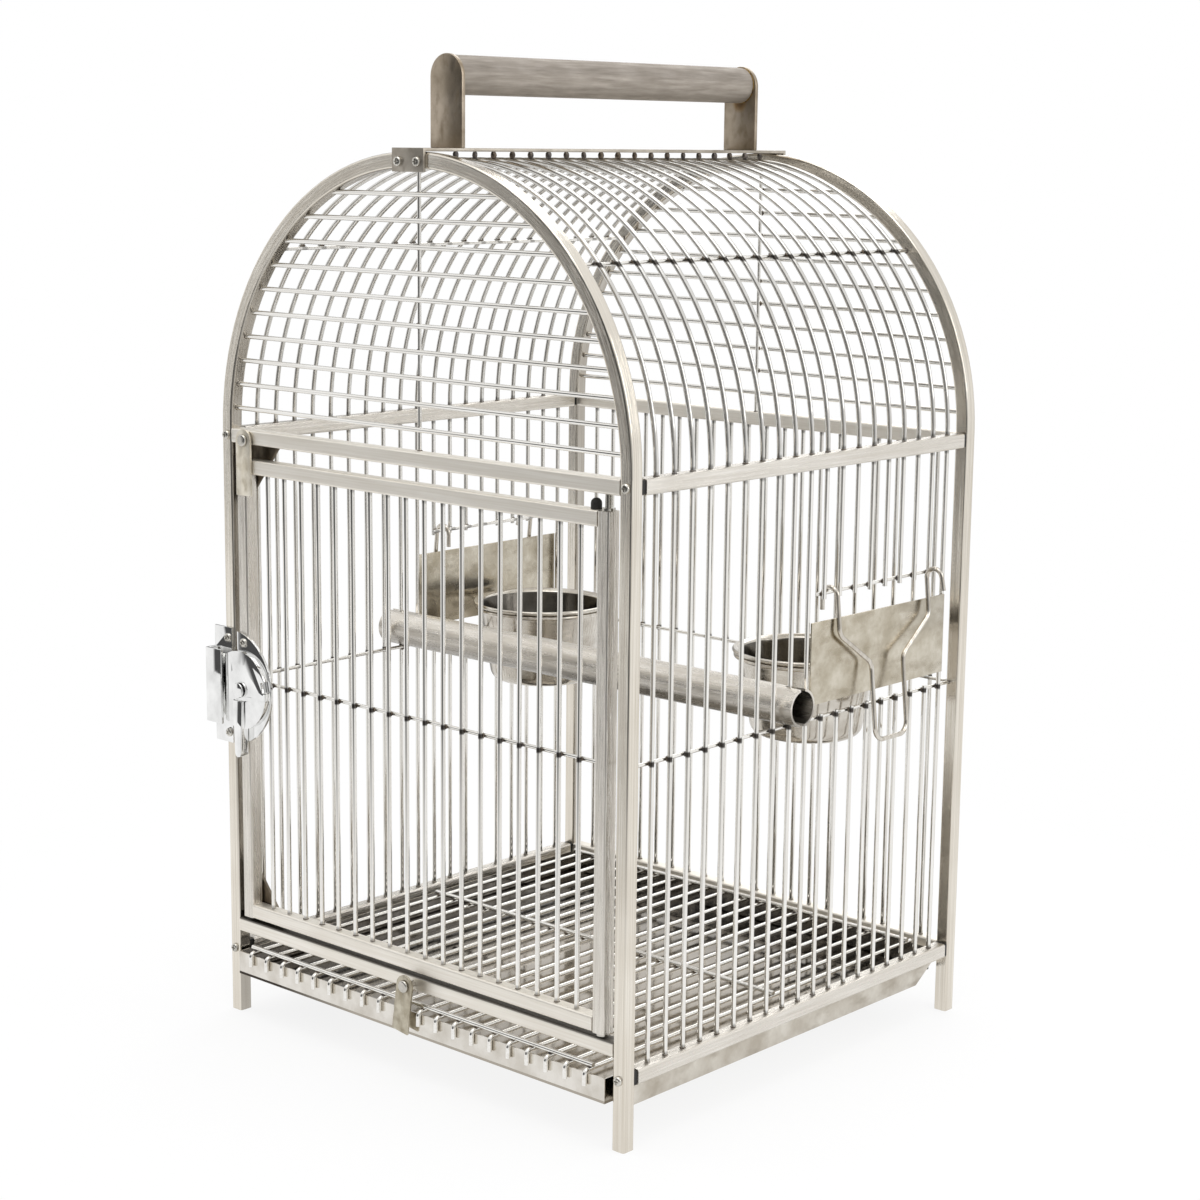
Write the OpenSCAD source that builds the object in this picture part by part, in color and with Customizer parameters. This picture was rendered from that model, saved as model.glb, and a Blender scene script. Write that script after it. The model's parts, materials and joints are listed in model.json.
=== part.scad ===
// Dome top parrot carrier: tube hoops, wire walls and dome, front door, tray, hook-on feeders and perch.
// Millimetres, +Z up, front towards -Y, origin on the floor at the middle of the footprint.

/* [Overall] */
// Outside width across the posts
cage_width = 356; // [348:1:368]
// Outside depth from front posts to rear posts
cage_depth = 340; // [336:1:352]
// Height of the tops of the middle rails, where the dome starts
spring_height = 396.5; // [394:0.5:410]

/* [Tube] */
// Side of the square tube of hoops, rails and door
tube_size = 9.5; // [9.2:0.1:9.8]
// Wall of the square tube
tube_wall = 1.2; // [1:0.1:1.5]
// Outside corner radius of the square tube
tube_corner = 1.5; // [1.2:0.1:1.8]

/* [Wire] */
// Diameter of the upright and arched bars
bar_diameter = 3; // [2.6:0.1:3.2]
// Diameter of the cross wires
wire_diameter = 2.4; // [2:0.1:2.6]
// Gap left at each welded crossing
weld_gap = 0.05; // [0.04:0.01:0.08]
// Bars in each side wall
side_bar_count = 19; // [19:1:19]
// Bars in the rear wall
rear_bar_count = 20; // [18:1:22]
// Height of the cross wire on all four walls
mid_wire_height = 229.4; // [226:0.2:232]

/* [Lower frame] */
// Underside of the bottom rails
bottom_rail_height = 39; // [38:0.5:39.5]
// Underside of the front sill
sill_height = 56.5; // [56:0.5:58]
// Flange of the black plug at each side rail end
plug_flange = 3; // [2:0.5:4]
// Length of the plug inside the rail
plug_body_length = 8; // [6:1:12]
// Side gap between plug and tube
plug_clearance = 0.1; // [0.05:0.05:0.2]

/* [Tray guides] */
// Underside of the guide's lip
guide_height = 27; // [26.6:0.1:27]
// Thickness of the guide sheet
guide_sheet = 1; // [0.8:0.1:1]
// Width of the lip under the tray
guide_lip = 16; // [14:1:18]
// Distance of the guide's rear end from the rear post, at its top
guide_rear_gap = 16; // [12:1:20]
// Length of the slanted cut at the guide's rear end
guide_slant = 18; // [12:1:24]

/* [Dome] */
// Angle of the two lengthwise wires above the horizontal
dome_wire_angle = 43; // [40:1:46]
// Cross wires in each end of the dome
end_wire_count = 10; // [8:1:10]
// First cross wire above the middle rail
end_wire_first = 13; // [12:0.5:14]
// Spacing of those cross wires
end_wire_pitch = 15.55; // [15:0.05:15.6]

/* [Handle] */
// Width of the strap and the upright plates
strap_width = 27; // [26:1:30]
// Thickness of the strap
strap_thickness = 2; // [1.6:0.1:2.2]
// Gap between the strap and the hoops under it
strap_gap = 0.1; // [0.08:0.02:0.2]
// Length of the tab folded down over each hoop
strap_tab = 12; // [11:0.5:13]
// Thickness of each upright plate
bracket_thickness = 3; // [2.5:0.5:4]
// Distance of each upright plate from the middle
bracket_reach = 138.8; // [132:0.2:142]
// Outside diameter of the grip tube
grip_diameter = 23.5; // [20:0.5:25]
// Wall of the grip tube
grip_wall = 1.2; // [1:0.1:2]
// Height of the grip's axis above the strap
grip_rise = 43; // [42:0.2:46]
// How far each upright plate stands above the grip
bracket_lip = 0.7; // [0.5:0.1:2]

/* [Door] */
// Gap between door and left post
door_left_gap = 4.8; // [4.4:0.2:5.4]
// Gap between door and right post
door_right_gap = 7; // [6.6:0.2:7.6]
// Gap between door and sill
door_sill_gap = 2.5; // [2.5:0.1:3]
// Gap between door and top rail
door_top_gap = 9.7; // [9.5:0.1:10.5]
// How far the door stands ahead of the posts
door_proud = 0.4; // [0.4:0.05:0.5]
// Bars in the door
door_bar_count = 18; // [16:1:18]
// Diameter of the hinge pins
hinge_pin_diameter = 4; // [3.6:0.1:4.2]
// Diameter of the collar on each hinge pin
hinge_collar_diameter = 8; // [7:0.5:8.5]
// Height of the collar
hinge_collar_height = 1.6; // [1.4:0.1:1.8]
// Length of each hinge pin inside the rail
hinge_engagement = 5; // [4:0.5:6]
// Radial clearance of the turning joints
turn_clearance = 0.3; // [0.3:0.05:0.4]
// Reach along the rail of the two corner plates that stop the door swinging in
stop_width = 36; // [30:1:40]
// Reach of those plates along the post
stop_rise = 44; // [38:1:48]
// Gap between those plates and the post
stop_inset = 0.2; // [0.1:0.1:0.6]
// Thickness of those plates
stop_thickness = 2; // [1.5:0.1:2.5]
// Overlap of those plates with the rails behind which they sit
stop_overlap = 6; // [5:0.5:6.5]
// Diameter of the rubber buffer on the door's top rail
buffer_diameter = 6.5; // [6:0.5:9]
// Height of the rubber buffer
buffer_rise = 6.5; // [5:0.5:8]
// Distance of the buffer's axis from the right stile
buffer_inset = 4.6; // [4.6:0.1:6]

/* [Latch] */
// Height of the latch pivot
latch_height = 225.5; // [222:0.5:228]
// Distance of the latch pivot from the door's left edge
latch_inset = 7.2; // [7:0.1:7.6]
// Radius of the rounded side of the latch case
case_radius = 38; // [37:0.5:39]
// Distance of the case's arc centre left of the door's edge
case_offset = 4.3; // [4:0.1:4.6]
// Thickness of the case
case_thickness = 2; // [1.8:0.1:2.2]
// Thickness of the turning disc
cam_thickness = 4.2; // [4:0.1:4.4]
// Radius of the turning disc
cam_reach = 26; // [25:0.5:26]
// Distance of the disc's flat side from its pivot
cam_flat = 14.5; // [14:0.1:14.8]
// Width of the thumb notch in the disc's rim
cam_notch_width = 7; // [6:0.5:8]
// Depth of the thumb notch
cam_notch_depth = 3.5; // [3:0.5:4]
// Angle of the thumb notch above the level
cam_notch_angle = 12; // [8:1:16]
// Length of the disc's thumb lever from the pivot
cam_lever_length = 45; // [42:1:46]
// Width of the thumb lever on the disc
cam_lever_width = 9; // [8:0.5:10]
// Width of the thumb lever at its tip
cam_tip_width = 6; // [5:0.5:7]
// How far the thumb lever stands ahead of the disc
cam_lever_rise = 2; // [1.6:0.1:2.2]
// Distance of the thumb lever's start from the pivot
cam_lever_start = 7; // [6.5:0.5:8]
// Width of the slot beside the thumb lever
cam_slot_width = 1.6; // [1.4:0.1:2]
// Diameter of the cam's pivot
pivot_diameter = 6; // [5:0.5:6]
// Diameter of the pivot's head
pivot_head_diameter = 10; // [9:0.5:11]
// Thickness of the pivot's head
pivot_head_height = 1.8; // [1.5:0.1:2]
// Height of the strike plate on the post
strike_height = 78; // [76:1:80]
// Overhang of the strike beyond the post
strike_overhang = 9.5; // [9.5:0.1:10]
// Thickness of the strike plate
strike_thickness = 1.5; // [1.4:0.1:1.5]
// Height of the strike's hook
hook_height = 50; // [46:1:52]
// Gap between plate and lip of the hook
hook_gap = 6; // [6:0.1:6.4]
// Thickness of the hook's wall and lip
hook_thickness = 2; // [1.8:0.1:2]
// Distance of the lip's free edge from the post's outer face
hook_lip_cover = 6; // [5.4:0.1:6]
// Distance of the strike screws from the latch pivot height
strike_screw_reach = 32; // [31:0.5:33]
// Height of the case screw above the latch pivot
case_screw_rise = 31; // [30.5:0.1:31.5]

/* [Turn buttons] */
// Width of both turn buttons
button_width = 14; // [13:0.5:14]
// Thickness of both turn buttons
button_thickness = 1.5; // [1.3:0.1:1.6]
// Length of the door's turn button below its pivot
door_button_length = 36; // [32:1:38]
// Distance of that pivot from the door's left edge
door_button_inset = 9; // [8:0.5:10]
// Height of that pivot above the top rail's underside
door_button_rise = 2.8; // [2.8:0.1:3.4]
// Length of the tray's turn button below its pivot
tray_button_length = 31; // [30:0.2:31]
// Sideways place of that pivot
tray_button_x = 1; // [0.8:0.1:1.4]
// Lean of the tray's turn button
tray_button_lean = 8; // [6:1:8]
// Diameter of the turn buttons' pivots
button_pin_diameter = 4; // [3.6:0.1:4.2]
// Diameter of those pivots' heads
button_head_diameter = 8; // [7.5:0.5:8.5]
// Thickness of those pivots' heads
button_head_height = 1.6; // [1.4:0.1:1.8]

/* [Tray and grate] */
// Gap between the tray and the rails beside it
tray_side_gap = 3; // [2.8:0.1:3.4]
// Gap between the tray and the lip under it
tray_floor_gap = 0.3; // [0.3:0.05:0.4]
// Gap between the tray and the rear rail
tray_rear_gap = 3.5; // [3:0.5:5]
// How far the tray's front stands ahead of the posts
tray_proud = 3.2; // [3:0.1:3.4]
// Height of the tray
tray_height = 15.5; // [15:0.1:15.5]
// Sheet thickness of the tray
tray_sheet = 0.8; // [0.7:0.1:0.8]
// Wires on each side of the grate's middle
grate_half_count = 10; // [9:1:10]
// Distance of the first grate wire from the middle
grate_first = 10.3; // [10.2:0.05:10.4]
// Spacing of the grate wires
grate_pitch = 15.65; // [15.5:0.05:15.8]
// Gap between the grate wires and the tray's rim
grate_gap = 0.4; // [0.4:0.05:0.5]
// Bend radius of the grate wires' turned-down ends
grate_bend = 3; // [3:0.1:3.2]
// Length of the turned-down ends below the bend
grate_drop = 6; // [5:0.5:6]
// Distance of the grate's rear ends from the tray's rear end
grate_rear_inset = 2; // [1.5:0.5:3]
// Distance of the grate's rear rod from the wires' ends
grate_rod_inset = 8; // [6:1:10]

/* [Feeders] */
// Side bar at the front edge of each feeder opening
feeder_first_bar = 10; // [10:1:10]
// Side bar at the rear edge of each feeder opening
feeder_last_bar = 19; // [19:1:19]
// Height of the short wire above each feeder opening
upper_wire_height = 308; // [306:0.5:309]
// Overhang of that wire and of the cut bars
cut_overhang = 3; // [2.5:0.5:3.5]
// Underside of the feeder plate
plate_height = 240; // [239:0.5:241]
// Height of the feeder plate itself
plate_rise = 52; // [50:0.5:53]
// Thickness of the feeder plate
plate_thickness = 1.2; // [1:0.1:1.4]
// Gap between the plate and the bars behind it
plate_gap = 0.3; // [0.3:0.05:0.5]
// Diameter of the hanger wire and the bowl ring
hanger_diameter = 3; // [2.8:0.1:3.2]
// Bend radius of the hanger's hooks
hook_bend = 5.8; // [5.7:0.05:6]
// Length of each hook's inner end
hook_tail = 9; // [8:0.5:10]
// Outward lean of the hanger wire
hanger_lean = 6; // [5:0.5:7]
// Straight length below each hook
hanger_upper = 20; // [18:0.5:22]
// Angle of the slanted stretch
hanger_slant = 55; // [52:1:58]
// Bend radius of the hanger below the hooks
hanger_bend = 8; // [7:0.5:9]
// Straight length above the bottom loop
hanger_lower = 38; // [34:1:40]
// Half of the loop's width
loop_half_width = 17; // [16:0.5:18]
// Length of the two stubs between ring and plate, sideways place
stub_offset = 12; // [10:0.5:14]

/* [Bowls] */
// Radius over the bowl's rim
bowl_rim_radius = 49.5; // [48.5:0.1:49.5]
// Radius of the rolled edge
bowl_roll = 1.4; // [1.2:0.1:1.5]
// Height of the bowl's rim
bowl_rim_height = 258; // [256:0.5:260]
// Depth of the bowl
bowl_depth = 57; // [54:0.5:60]
// Radius of the bowl's body under the rim
bowl_body_radius = 45; // [44.4:0.1:45]
// Radius of the bowl's floor
bowl_floor_radius = 36; // [34:0.5:38]
// Sheet thickness of the bowl
bowl_sheet = 0.9; // [0.8:0.1:1]
// Distance of the bowl's axis from the post line
bowl_inset = 53.75; // [53.7:0.05:54]
// Radial gap between bowl and ring
ring_clearance = 0.5; // [0.4:0.1:0.6]

/* [Perch] */
// Side bar that the perch straddles
perch_bar = 9; // [7:1:9]
// Outside diameter of the perch
perch_diameter = 24; // [22:0.5:24]
// Wall of the perch tube
perch_wall = 1.5; // [1.2:0.1:2]
// How far each end stands out from the cage's side
perch_overhang = 5.5; // [5:0.5:8]
// Side gap between the perch's slot and the bar
perch_slot_gap = 0.6; // [0.5:0.1:1]
// Gap between the perch and the wire under it
perch_rest_gap = 0.1; // [0.1:0.05:0.3]

/* [Screws] */
// Head diameter of the frame screws
screw_head_diameter = 6; // [5.5:0.1:6.5]
// Head height of the frame screws
screw_head_height = 2; // [1.8:0.1:2.2]
// Sideways place of the strap screws
strap_screw_reach = 8; // [7:0.5:9]
// Distance of the strap screws above the tab's lower edge
strap_screw_rise = 6; // [5:0.5:7]

/* [Hidden] */
$fn = 48;
overrun = 1;
bend_overlap = 0.3;
bend_swell = 0.1;
half_width = cage_width / 2;
half_depth = cage_depth / 2;
tube_half = tube_size / 2;
tube_inner = tube_size - 2 * tube_wall;
post_x = half_width - tube_half;
post_y = half_depth - tube_half;
inner_x = half_width - tube_size;
inner_y = half_depth - tube_size;
mid_rail_z = spring_height - tube_half;
mid_rail_bottom = spring_height - tube_size;
low_rail_z = bottom_rail_height + tube_half;
low_rail_top = bottom_rail_height + tube_size;
sill_z = sill_height + tube_half;
sill_top = sill_height + tube_size;
side_rail_length = 2 * inner_y - 2 * plug_flange;
bar_radius = bar_diameter / 2;
wire_radius = wire_diameter / 2;
cross_offset = bar_radius + wire_radius + weld_gap;
side_pitch = 2 * inner_y / (side_bar_count + 1);
rear_pitch = 2 * inner_x / (rear_bar_count + 1);
hoop_inner = post_x - tube_half;
dome_wire_radius = post_x - cross_offset;
dome_top = spring_height + half_width;
strap_bottom = dome_top + strap_gap;
strap_top = strap_bottom + strap_thickness;
tab_bottom = strap_top - strap_tab - strap_thickness;
grip_z = strap_top + grip_rise;
grip_radius = grip_diameter / 2;
bracket_inner = bracket_reach - bracket_thickness / 2;
bracket_round = grip_z + grip_radius + bracket_lip - strap_width / 2;
door_left = door_left_gap - inner_x;
door_right = inner_x - door_right_gap;
door_bottom = sill_top + door_sill_gap;
door_top = mid_rail_bottom - door_top_gap;
door_rise = door_top - door_bottom;
door_y = -post_y - door_proud;
door_front = door_y - tube_half;
door_inner_left = door_left + tube_size;
door_inner_right = door_right - tube_size;
door_inner_width = door_inner_right - door_inner_left;
door_pitch = door_inner_width / (door_bar_count + 1);
hinge_x = door_right - tube_half;
latch_x = door_left + latch_inset;
case_front = door_front - case_thickness;
cam_back = case_front - turn_clearance;
cam_front = cam_back - cam_thickness;
cam_bore = pivot_diameter + 2 * turn_clearance;
lever_front = cam_front - cam_lever_rise;
strike_front = -half_depth - strike_thickness;
hook_front = strike_front - hook_gap - hook_thickness;
button_bore = button_pin_diameter + 2 * turn_clearance;
door_button_x = door_left + door_button_inset;
door_button_z = mid_rail_bottom + door_button_rise;
door_button_back = door_front - turn_clearance;
tray_bottom = guide_height + guide_sheet + tray_floor_gap;
tray_top = tray_bottom + tray_height;
tray_half = inner_x - tray_side_gap;
tray_front = -half_depth - tray_proud;
tray_rear = inner_y - tray_rear_gap;
grate_z = tray_top + grate_gap + bar_radius;
grate_rod_z = grate_z + bar_diameter + weld_gap;
grate_end_y = tray_front - grate_gap - bar_radius;
grate_rear = tray_rear - grate_rear_inset;
grate_half = grate_first + (grate_half_count - 1) * grate_pitch + cut_overhang;
tray_button_back = grate_end_y - bar_radius - bend_swell - turn_clearance;
opening_width = (feeder_last_bar - feeder_first_bar) * side_pitch;
feeder_y = side_bar_y(feeder_first_bar) + opening_width / 2;
plate_width = opening_width - bar_radius;
plate_x = post_x + bar_radius + plate_gap;
plate_out = plate_x + plate_thickness;
upper_wire_x = post_x - cross_offset;
hanger_radius = hanger_diameter / 2;
hanger_x = plate_out + hanger_radius + weld_gap;
hanger_start_x = hanger_x - hook_bend * (1 + cos(hanger_lean));
hook_axis_x = hanger_start_x + hook_bend;
hook_inner = hook_bend - hanger_radius - wire_radius - 2 * weld_gap;
hook_axis_z = upper_wire_height - sqrt(pow(hook_inner, 2) - pow(hook_axis_x - upper_wire_x, 2));
hook_half = opening_width / 2 - 3 * side_pitch / 2;
slant_side = hook_half - loop_half_width - 2 * hanger_bend * (1 - cos(hanger_slant));
slant_length = slant_side / sin(hanger_slant);
loop_straight = 2 * (loop_half_width - hanger_bend);
bowl_x = post_x - bowl_inset;
ring_radius = bowl_body_radius + ring_clearance + hanger_radius;
ring_z = bowl_rim_height - 2 * bowl_roll - hanger_radius - ring_clearance;
bowl_floor_z = bowl_rim_height - bowl_depth;
bowl_lip_z = bowl_rim_height - bowl_roll;
bowl_roll_centre = bowl_rim_radius - bowl_roll;
stub_start = sqrt(pow(ring_radius, 2) - pow(stub_offset, 2)) + hanger_radius / 2;
perch_z = mid_wire_height + wire_radius + perch_rest_gap + perch_diameter / 2;
perch_y = side_bar_y(perch_bar);
perch_half = half_width + perch_overhang;
perch_slot_start = post_x - bar_radius - perch_slot_gap;
perch_slot_width = bar_diameter + 2 * perch_slot_gap;

function side_bar_y(index) = index * side_pitch - inner_y;

module tube_outline() {
  square([tube_size - 2 * tube_corner, tube_size], center = true);
  square([tube_size, tube_size - 2 * tube_corner], center = true);
  for (side_x = [-1, 1])
    for (side_y = [-1, 1])
      translate([side_x * (tube_half - tube_corner), side_y * (tube_half - tube_corner)])
        circle(r = tube_corner);
}

module tube_section() {
  difference() {
    tube_outline();
    square([tube_inner, tube_inner], center = true);
  }
}

module tube_upright(length) {
  linear_extrude(height = length)
    tube_section();
}

module tube_along_x(length) {
  rotate([0, 90, 0])
    linear_extrude(height = length, center = true)
      tube_section();
}

module tube_along_y(length) {
  rotate([90, 0, 0])
    linear_extrude(height = length, center = true)
      tube_section();
}

module rod_along_x(length, diameter) {
  rotate([0, 90, 0])
    cylinder(h = length, d = diameter, center = true);
}

module rod_along_y(length, diameter) {
  rotate([90, 0, 0])
    cylinder(h = length, d = diameter, center = true);
}

// A bent wire: each step is [straight length, roll, bend angle, bend radius].
module bent_wire(steps, diameter, index = 0) {
  if (index < len(steps)) {
    straight = steps[index][0];
    roll = steps[index][1];
    bend = steps[index][2];
    radius = steps[index][3];
    lead = index > 0 ? bend_overlap : 0;
    tail = bend > 0 ? bend_overlap : 0;
    translate([0, 0, -lead])
      cylinder(h = straight + lead + tail, d = diameter);
    translate([0, 0, straight])
      rotate([0, 0, roll]) {
        if (bend > 0)
          translate([radius, 0, 0])
            rotate([90, 0, 0])
              rotate([0, 0, 180 - bend])
                rotate_extrude(angle = bend)
                  translate([radius, 0])
                    circle(d = diameter + bend_swell);
        translate([radius - radius * cos(bend), 0, radius * sin(bend)])
          rotate([0, bend, 0])
            bent_wire(steps, diameter, index + 1);
      }
  }
}

// A flat plate drawn in X and Z, with its front face at front_y.
module plate_facing_front(front_y, thickness) {
  translate([0, front_y + thickness, 0])
    rotate([90, 0, 0])
      linear_extrude(height = thickness)
        children();
}

// A button head pointing to the front (way = 1) or the back (way = -1).
module head_on(x, face_y, z, way, diameter, height) {
  translate([x, face_y, z])
    rotate([90 * way, 0, 0])
      cylinder(h = height, d = diameter);
}

module hoop() {
  for (side = [-1, 1])
    translate([side * post_x, 0, 0])
      tube_upright(spring_height);
  translate([0, 0, spring_height])
    rotate([90, 0, 0])
      rotate_extrude(angle = 180)
        translate([post_x, 0])
          tube_section();
}

module front_hoop() {
  color("silver")
    translate([0, -post_y, 0])
      hoop();
}

module rear_hoop() {
  color("silver")
    translate([0, post_y, 0])
      hoop();
}

module front_top_rail() {
  color("silver")
    difference() {
      translate([0, -post_y, mid_rail_z])
        tube_along_x(2 * inner_x);
      translate([hinge_x, door_y, mid_rail_bottom - overrun])
        cylinder(h = tube_half, d = hinge_pin_diameter + 2 * turn_clearance);
    }
}

module front_sill() {
  color("silver")
    difference() {
      translate([0, -post_y, sill_z])
        tube_along_x(2 * inner_x);
      translate([hinge_x, door_y, sill_top - tube_half])
        cylinder(h = tube_half + overrun, d = hinge_pin_diameter + 2 * turn_clearance);
    }
}

module rear_mid_rail() {
  color("silver")
    translate([0, post_y, mid_rail_z])
      tube_along_x(2 * inner_x);
}

module rear_bottom_rail() {
  color("silver")
    translate([0, post_y, low_rail_z])
      tube_along_x(2 * inner_x);
}

module side_rail(side, height) {
  color("silver")
    translate([side * post_x, 0, height])
      tube_along_y(side_rail_length);
}

module left_mid_rail() {
  side_rail(-1, mid_rail_z);
}

module right_mid_rail() {
  side_rail(1, mid_rail_z);
}

module left_bottom_rail() {
  side_rail(-1, low_rail_z);
}

module right_bottom_rail() {
  side_rail(1, low_rail_z);
}

module rail_end_plugs() {
  plug_side = tube_inner - 2 * plug_clearance;
  color("black")
    for (side = [-1, 1])
      for (end = [-1, 1])
        for (height = [mid_rail_z, low_rail_z])
          translate([side * post_x, end * inner_y, height])
            rotate([90 * end, 0, 0]) {
              linear_extrude(height = plug_flange)
                square([tube_size - tube_corner, tube_size - tube_corner], center = true);
              linear_extrude(height = plug_flange + plug_body_length)
                square([plug_side, plug_side], center = true);
            }
}

module frame_screws() {
  color("gainsboro")
    for (side = [-1, 1])
      for (end = [-1, 1])
        for (height = [mid_rail_z, low_rail_z])
          head_on(side * post_x, end * half_depth, height, -end, screw_head_diameter, screw_head_height);
}

module tray_guide(side) {
  guide_out = half_width - tube_corner;
  guide_rear = inner_y - guide_rear_gap;
  color("silver")
    scale([side, 1, 1]) {
      translate([guide_out - guide_sheet, 0, 0])
        rotate([90, 0, 90])
          linear_extrude(height = guide_sheet)
            polygon([
              [-inner_y, guide_height],
              [guide_rear - guide_slant, guide_height],
              [guide_rear, bottom_rail_height],
              [-inner_y, bottom_rail_height]
            ]);
      translate([guide_out - guide_lip, -inner_y, guide_height])
        cube([guide_lip - guide_sheet / 2, guide_rear - guide_slant + inner_y, guide_sheet]);
    }
}

module left_tray_guide() {
  tray_guide(-1);
}

module right_tray_guide() {
  tray_guide(1);
}

module wall_bars(side) {
  color("silver")
    for (index = [1 : side_bar_count])
      translate([side * post_x, side_bar_y(index), low_rail_top])
        if (index > feeder_first_bar && index < feeder_last_bar) {
          cylinder(h = mid_wire_height + cut_overhang - low_rail_top, d = bar_diameter);
          translate([0, 0, upper_wire_height - cut_overhang - low_rail_top])
            cylinder(h = mid_rail_bottom - upper_wire_height + cut_overhang, d = bar_diameter);
        } else {
          cylinder(h = mid_rail_bottom - low_rail_top, d = bar_diameter);
        }
}

module left_wall_bars() {
  wall_bars(-1);
}

module right_wall_bars() {
  wall_bars(1);
}

module cross_wires(side) {
  short_span = opening_width - 2 * side_pitch + 2 * cut_overhang;
  color("silver") {
    translate([side * upper_wire_x, 0, mid_wire_height])
      rod_along_y(2 * inner_y, wire_diameter);
    translate([side * upper_wire_x, feeder_y, upper_wire_height])
      rod_along_y(short_span, wire_diameter);
  }
}

module left_cross_wires() {
  cross_wires(-1);
}

module right_cross_wires() {
  cross_wires(1);
}

module rear_wall_bars() {
  color("silver")
    for (index = [1 : rear_bar_count])
      translate([index * rear_pitch - inner_x, post_y, low_rail_top])
        cylinder(h = mid_rail_bottom - low_rail_top, d = bar_diameter);
}

module rear_cross_wire() {
  color("silver")
    translate([0, post_y - cross_offset, mid_wire_height])
      rod_along_x(2 * inner_x, wire_diameter);
}

module dome_end_wires(end) {
  color("silver")
    intersection() {
      union() {
        for (index = [0 : end_wire_count - 1])
          translate([0, end * post_y, spring_height + end_wire_first + index * end_wire_pitch])
            rod_along_x(2 * hoop_inner, bar_diameter);
        translate([0, end * (post_y - cross_offset), spring_height])
          cylinder(h = hoop_inner, d = wire_diameter);
      }
      translate([0, end * post_y, spring_height])
        rod_along_y(2 * tube_size, 2 * (hoop_inner - weld_gap));
    }
}

module front_dome_wires() {
  dome_end_wires(-1);
}

module rear_dome_wires() {
  dome_end_wires(1);
}

module dome_arch_bars() {
  color("silver")
    for (index = [1 : side_bar_count])
      translate([0, side_bar_y(index), spring_height])
        rotate([90, 0, 0])
          rotate_extrude(angle = 180)
            translate([post_x, 0])
              circle(d = bar_diameter);
}

module dome_side_wires() {
  color("silver")
    for (side = [-1, 1])
      translate([side * dome_wire_radius * cos(dome_wire_angle), 0,
          spring_height + dome_wire_radius * sin(dome_wire_angle)])
        rod_along_y(2 * inner_y, wire_diameter);
}

module handle_strap() {
  strap_length = cage_depth + 2 * strap_thickness;
  color("silver")
    translate([-strap_width / 2, 0, 0]) {
      translate([0, -strap_length / 2, strap_bottom])
        cube([strap_width, strap_length, strap_thickness]);
      translate([0, -strap_length / 2, tab_bottom])
        cube([strap_width, strap_thickness, strap_bottom - tab_bottom]);
      translate([0, half_depth, tab_bottom])
        cube([strap_width, strap_thickness, strap_bottom - tab_bottom]);
    }
}

module strap_screws() {
  color("gainsboro")
    for (side = [-1, 1])
      for (end = [-1, 1])
        head_on(side * strap_screw_reach, end * (half_depth + strap_thickness),
          tab_bottom + strap_screw_rise, -end, screw_head_diameter, screw_head_height);
}

module handle_bracket(middle_y) {
  color("silver")
    plate_facing_front(middle_y - bracket_thickness / 2, bracket_thickness) {
      translate([0, bracket_round])
        circle(d = strap_width);
      translate([-strap_width / 2, strap_top])
        square([strap_width, bracket_round - strap_top]);
    }
}

module front_handle_bracket() {
  handle_bracket(-bracket_reach);
}

module rear_handle_bracket() {
  handle_bracket(bracket_reach);
}

module handle_grip() {
  color("silver")
    translate([0, 0, grip_z])
      rotate([90, 0, 0])
        difference() {
          cylinder(h = 2 * bracket_inner, r = grip_radius, center = true);
          cylinder(h = 2 * bracket_inner + overrun, r = grip_radius - grip_wall, center = true);
        }
}

// A corner plate behind the post and a rail edge, reaching up (way = 1) or down (way = -1).
module corner_plate(edge_z, way) {
  plate_left = stop_inset - inner_x;
  plate_facing_front(-inner_y, stop_thickness)
    polygon([
      [plate_left, edge_z - way * stop_overlap],
      [plate_left + stop_width, edge_z - way * stop_overlap],
      [plate_left + stop_width, edge_z],
      [plate_left, edge_z + way * stop_rise]
    ]);
}

module door_stop() {
  color("silver") {
    corner_plate(mid_rail_bottom, -1);
    corner_plate(sill_top, 1);
  }
}

module latch_strike() {
  strike_left = -half_width - strike_overhang;
  strike_width = strike_overhang + tube_size - tube_corner;
  color("gainsboro")
    translate([strike_left, 0, latch_height]) {
      translate([0, strike_front, -strike_height / 2])
        cube([strike_width, strike_thickness, strike_height]);
      translate([0, hook_front, -hook_height / 2])
        cube([hook_thickness, hook_gap + hook_thickness, hook_height]);
      translate([0, hook_front, -hook_height / 2])
        cube([strike_overhang + hook_lip_cover, hook_thickness, hook_height]);
    }
}

module strike_screws() {
  color("gainsboro")
    for (end = [-1, 1])
      head_on(-post_x, strike_front, latch_height + end * strike_screw_reach, 1,
        screw_head_diameter, screw_head_height);
}

module button_pin(x, z, face_y, back_y) {
  shank = face_y - back_y + button_thickness + turn_clearance;
  head_on(x, face_y, z, 1, button_pin_diameter, shank);
  head_on(x, face_y - shank, z, 1, button_head_diameter, button_head_height);
}

module button_pins() {
  color("gainsboro") {
    button_pin(door_button_x, door_button_z, -half_depth, door_button_back);
    button_pin(tray_button_x, sill_z, -half_depth, tray_button_back);
  }
}

module door_left_stile() {
  color("silver")
    translate([door_left + tube_half, door_y, door_bottom])
      tube_upright(door_rise);
}

module door_right_stile() {
  color("silver")
    translate([hinge_x, door_y, door_bottom])
      tube_upright(door_rise);
}

module door_rail(height) {
  color("silver")
    translate([(door_inner_left + door_inner_right) / 2, door_y, height])
      tube_along_x(door_inner_width);
}

module door_top_rail() {
  door_rail(door_top - tube_half);
}

module door_bottom_rail() {
  door_rail(door_bottom + tube_half);
}

module door_bars() {
  color("silver")
    for (index = [1 : door_bar_count])
      translate([door_inner_left + index * door_pitch, door_y, door_bottom + tube_size])
        cylinder(h = door_rise - 2 * tube_size, d = bar_diameter);
}

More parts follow.
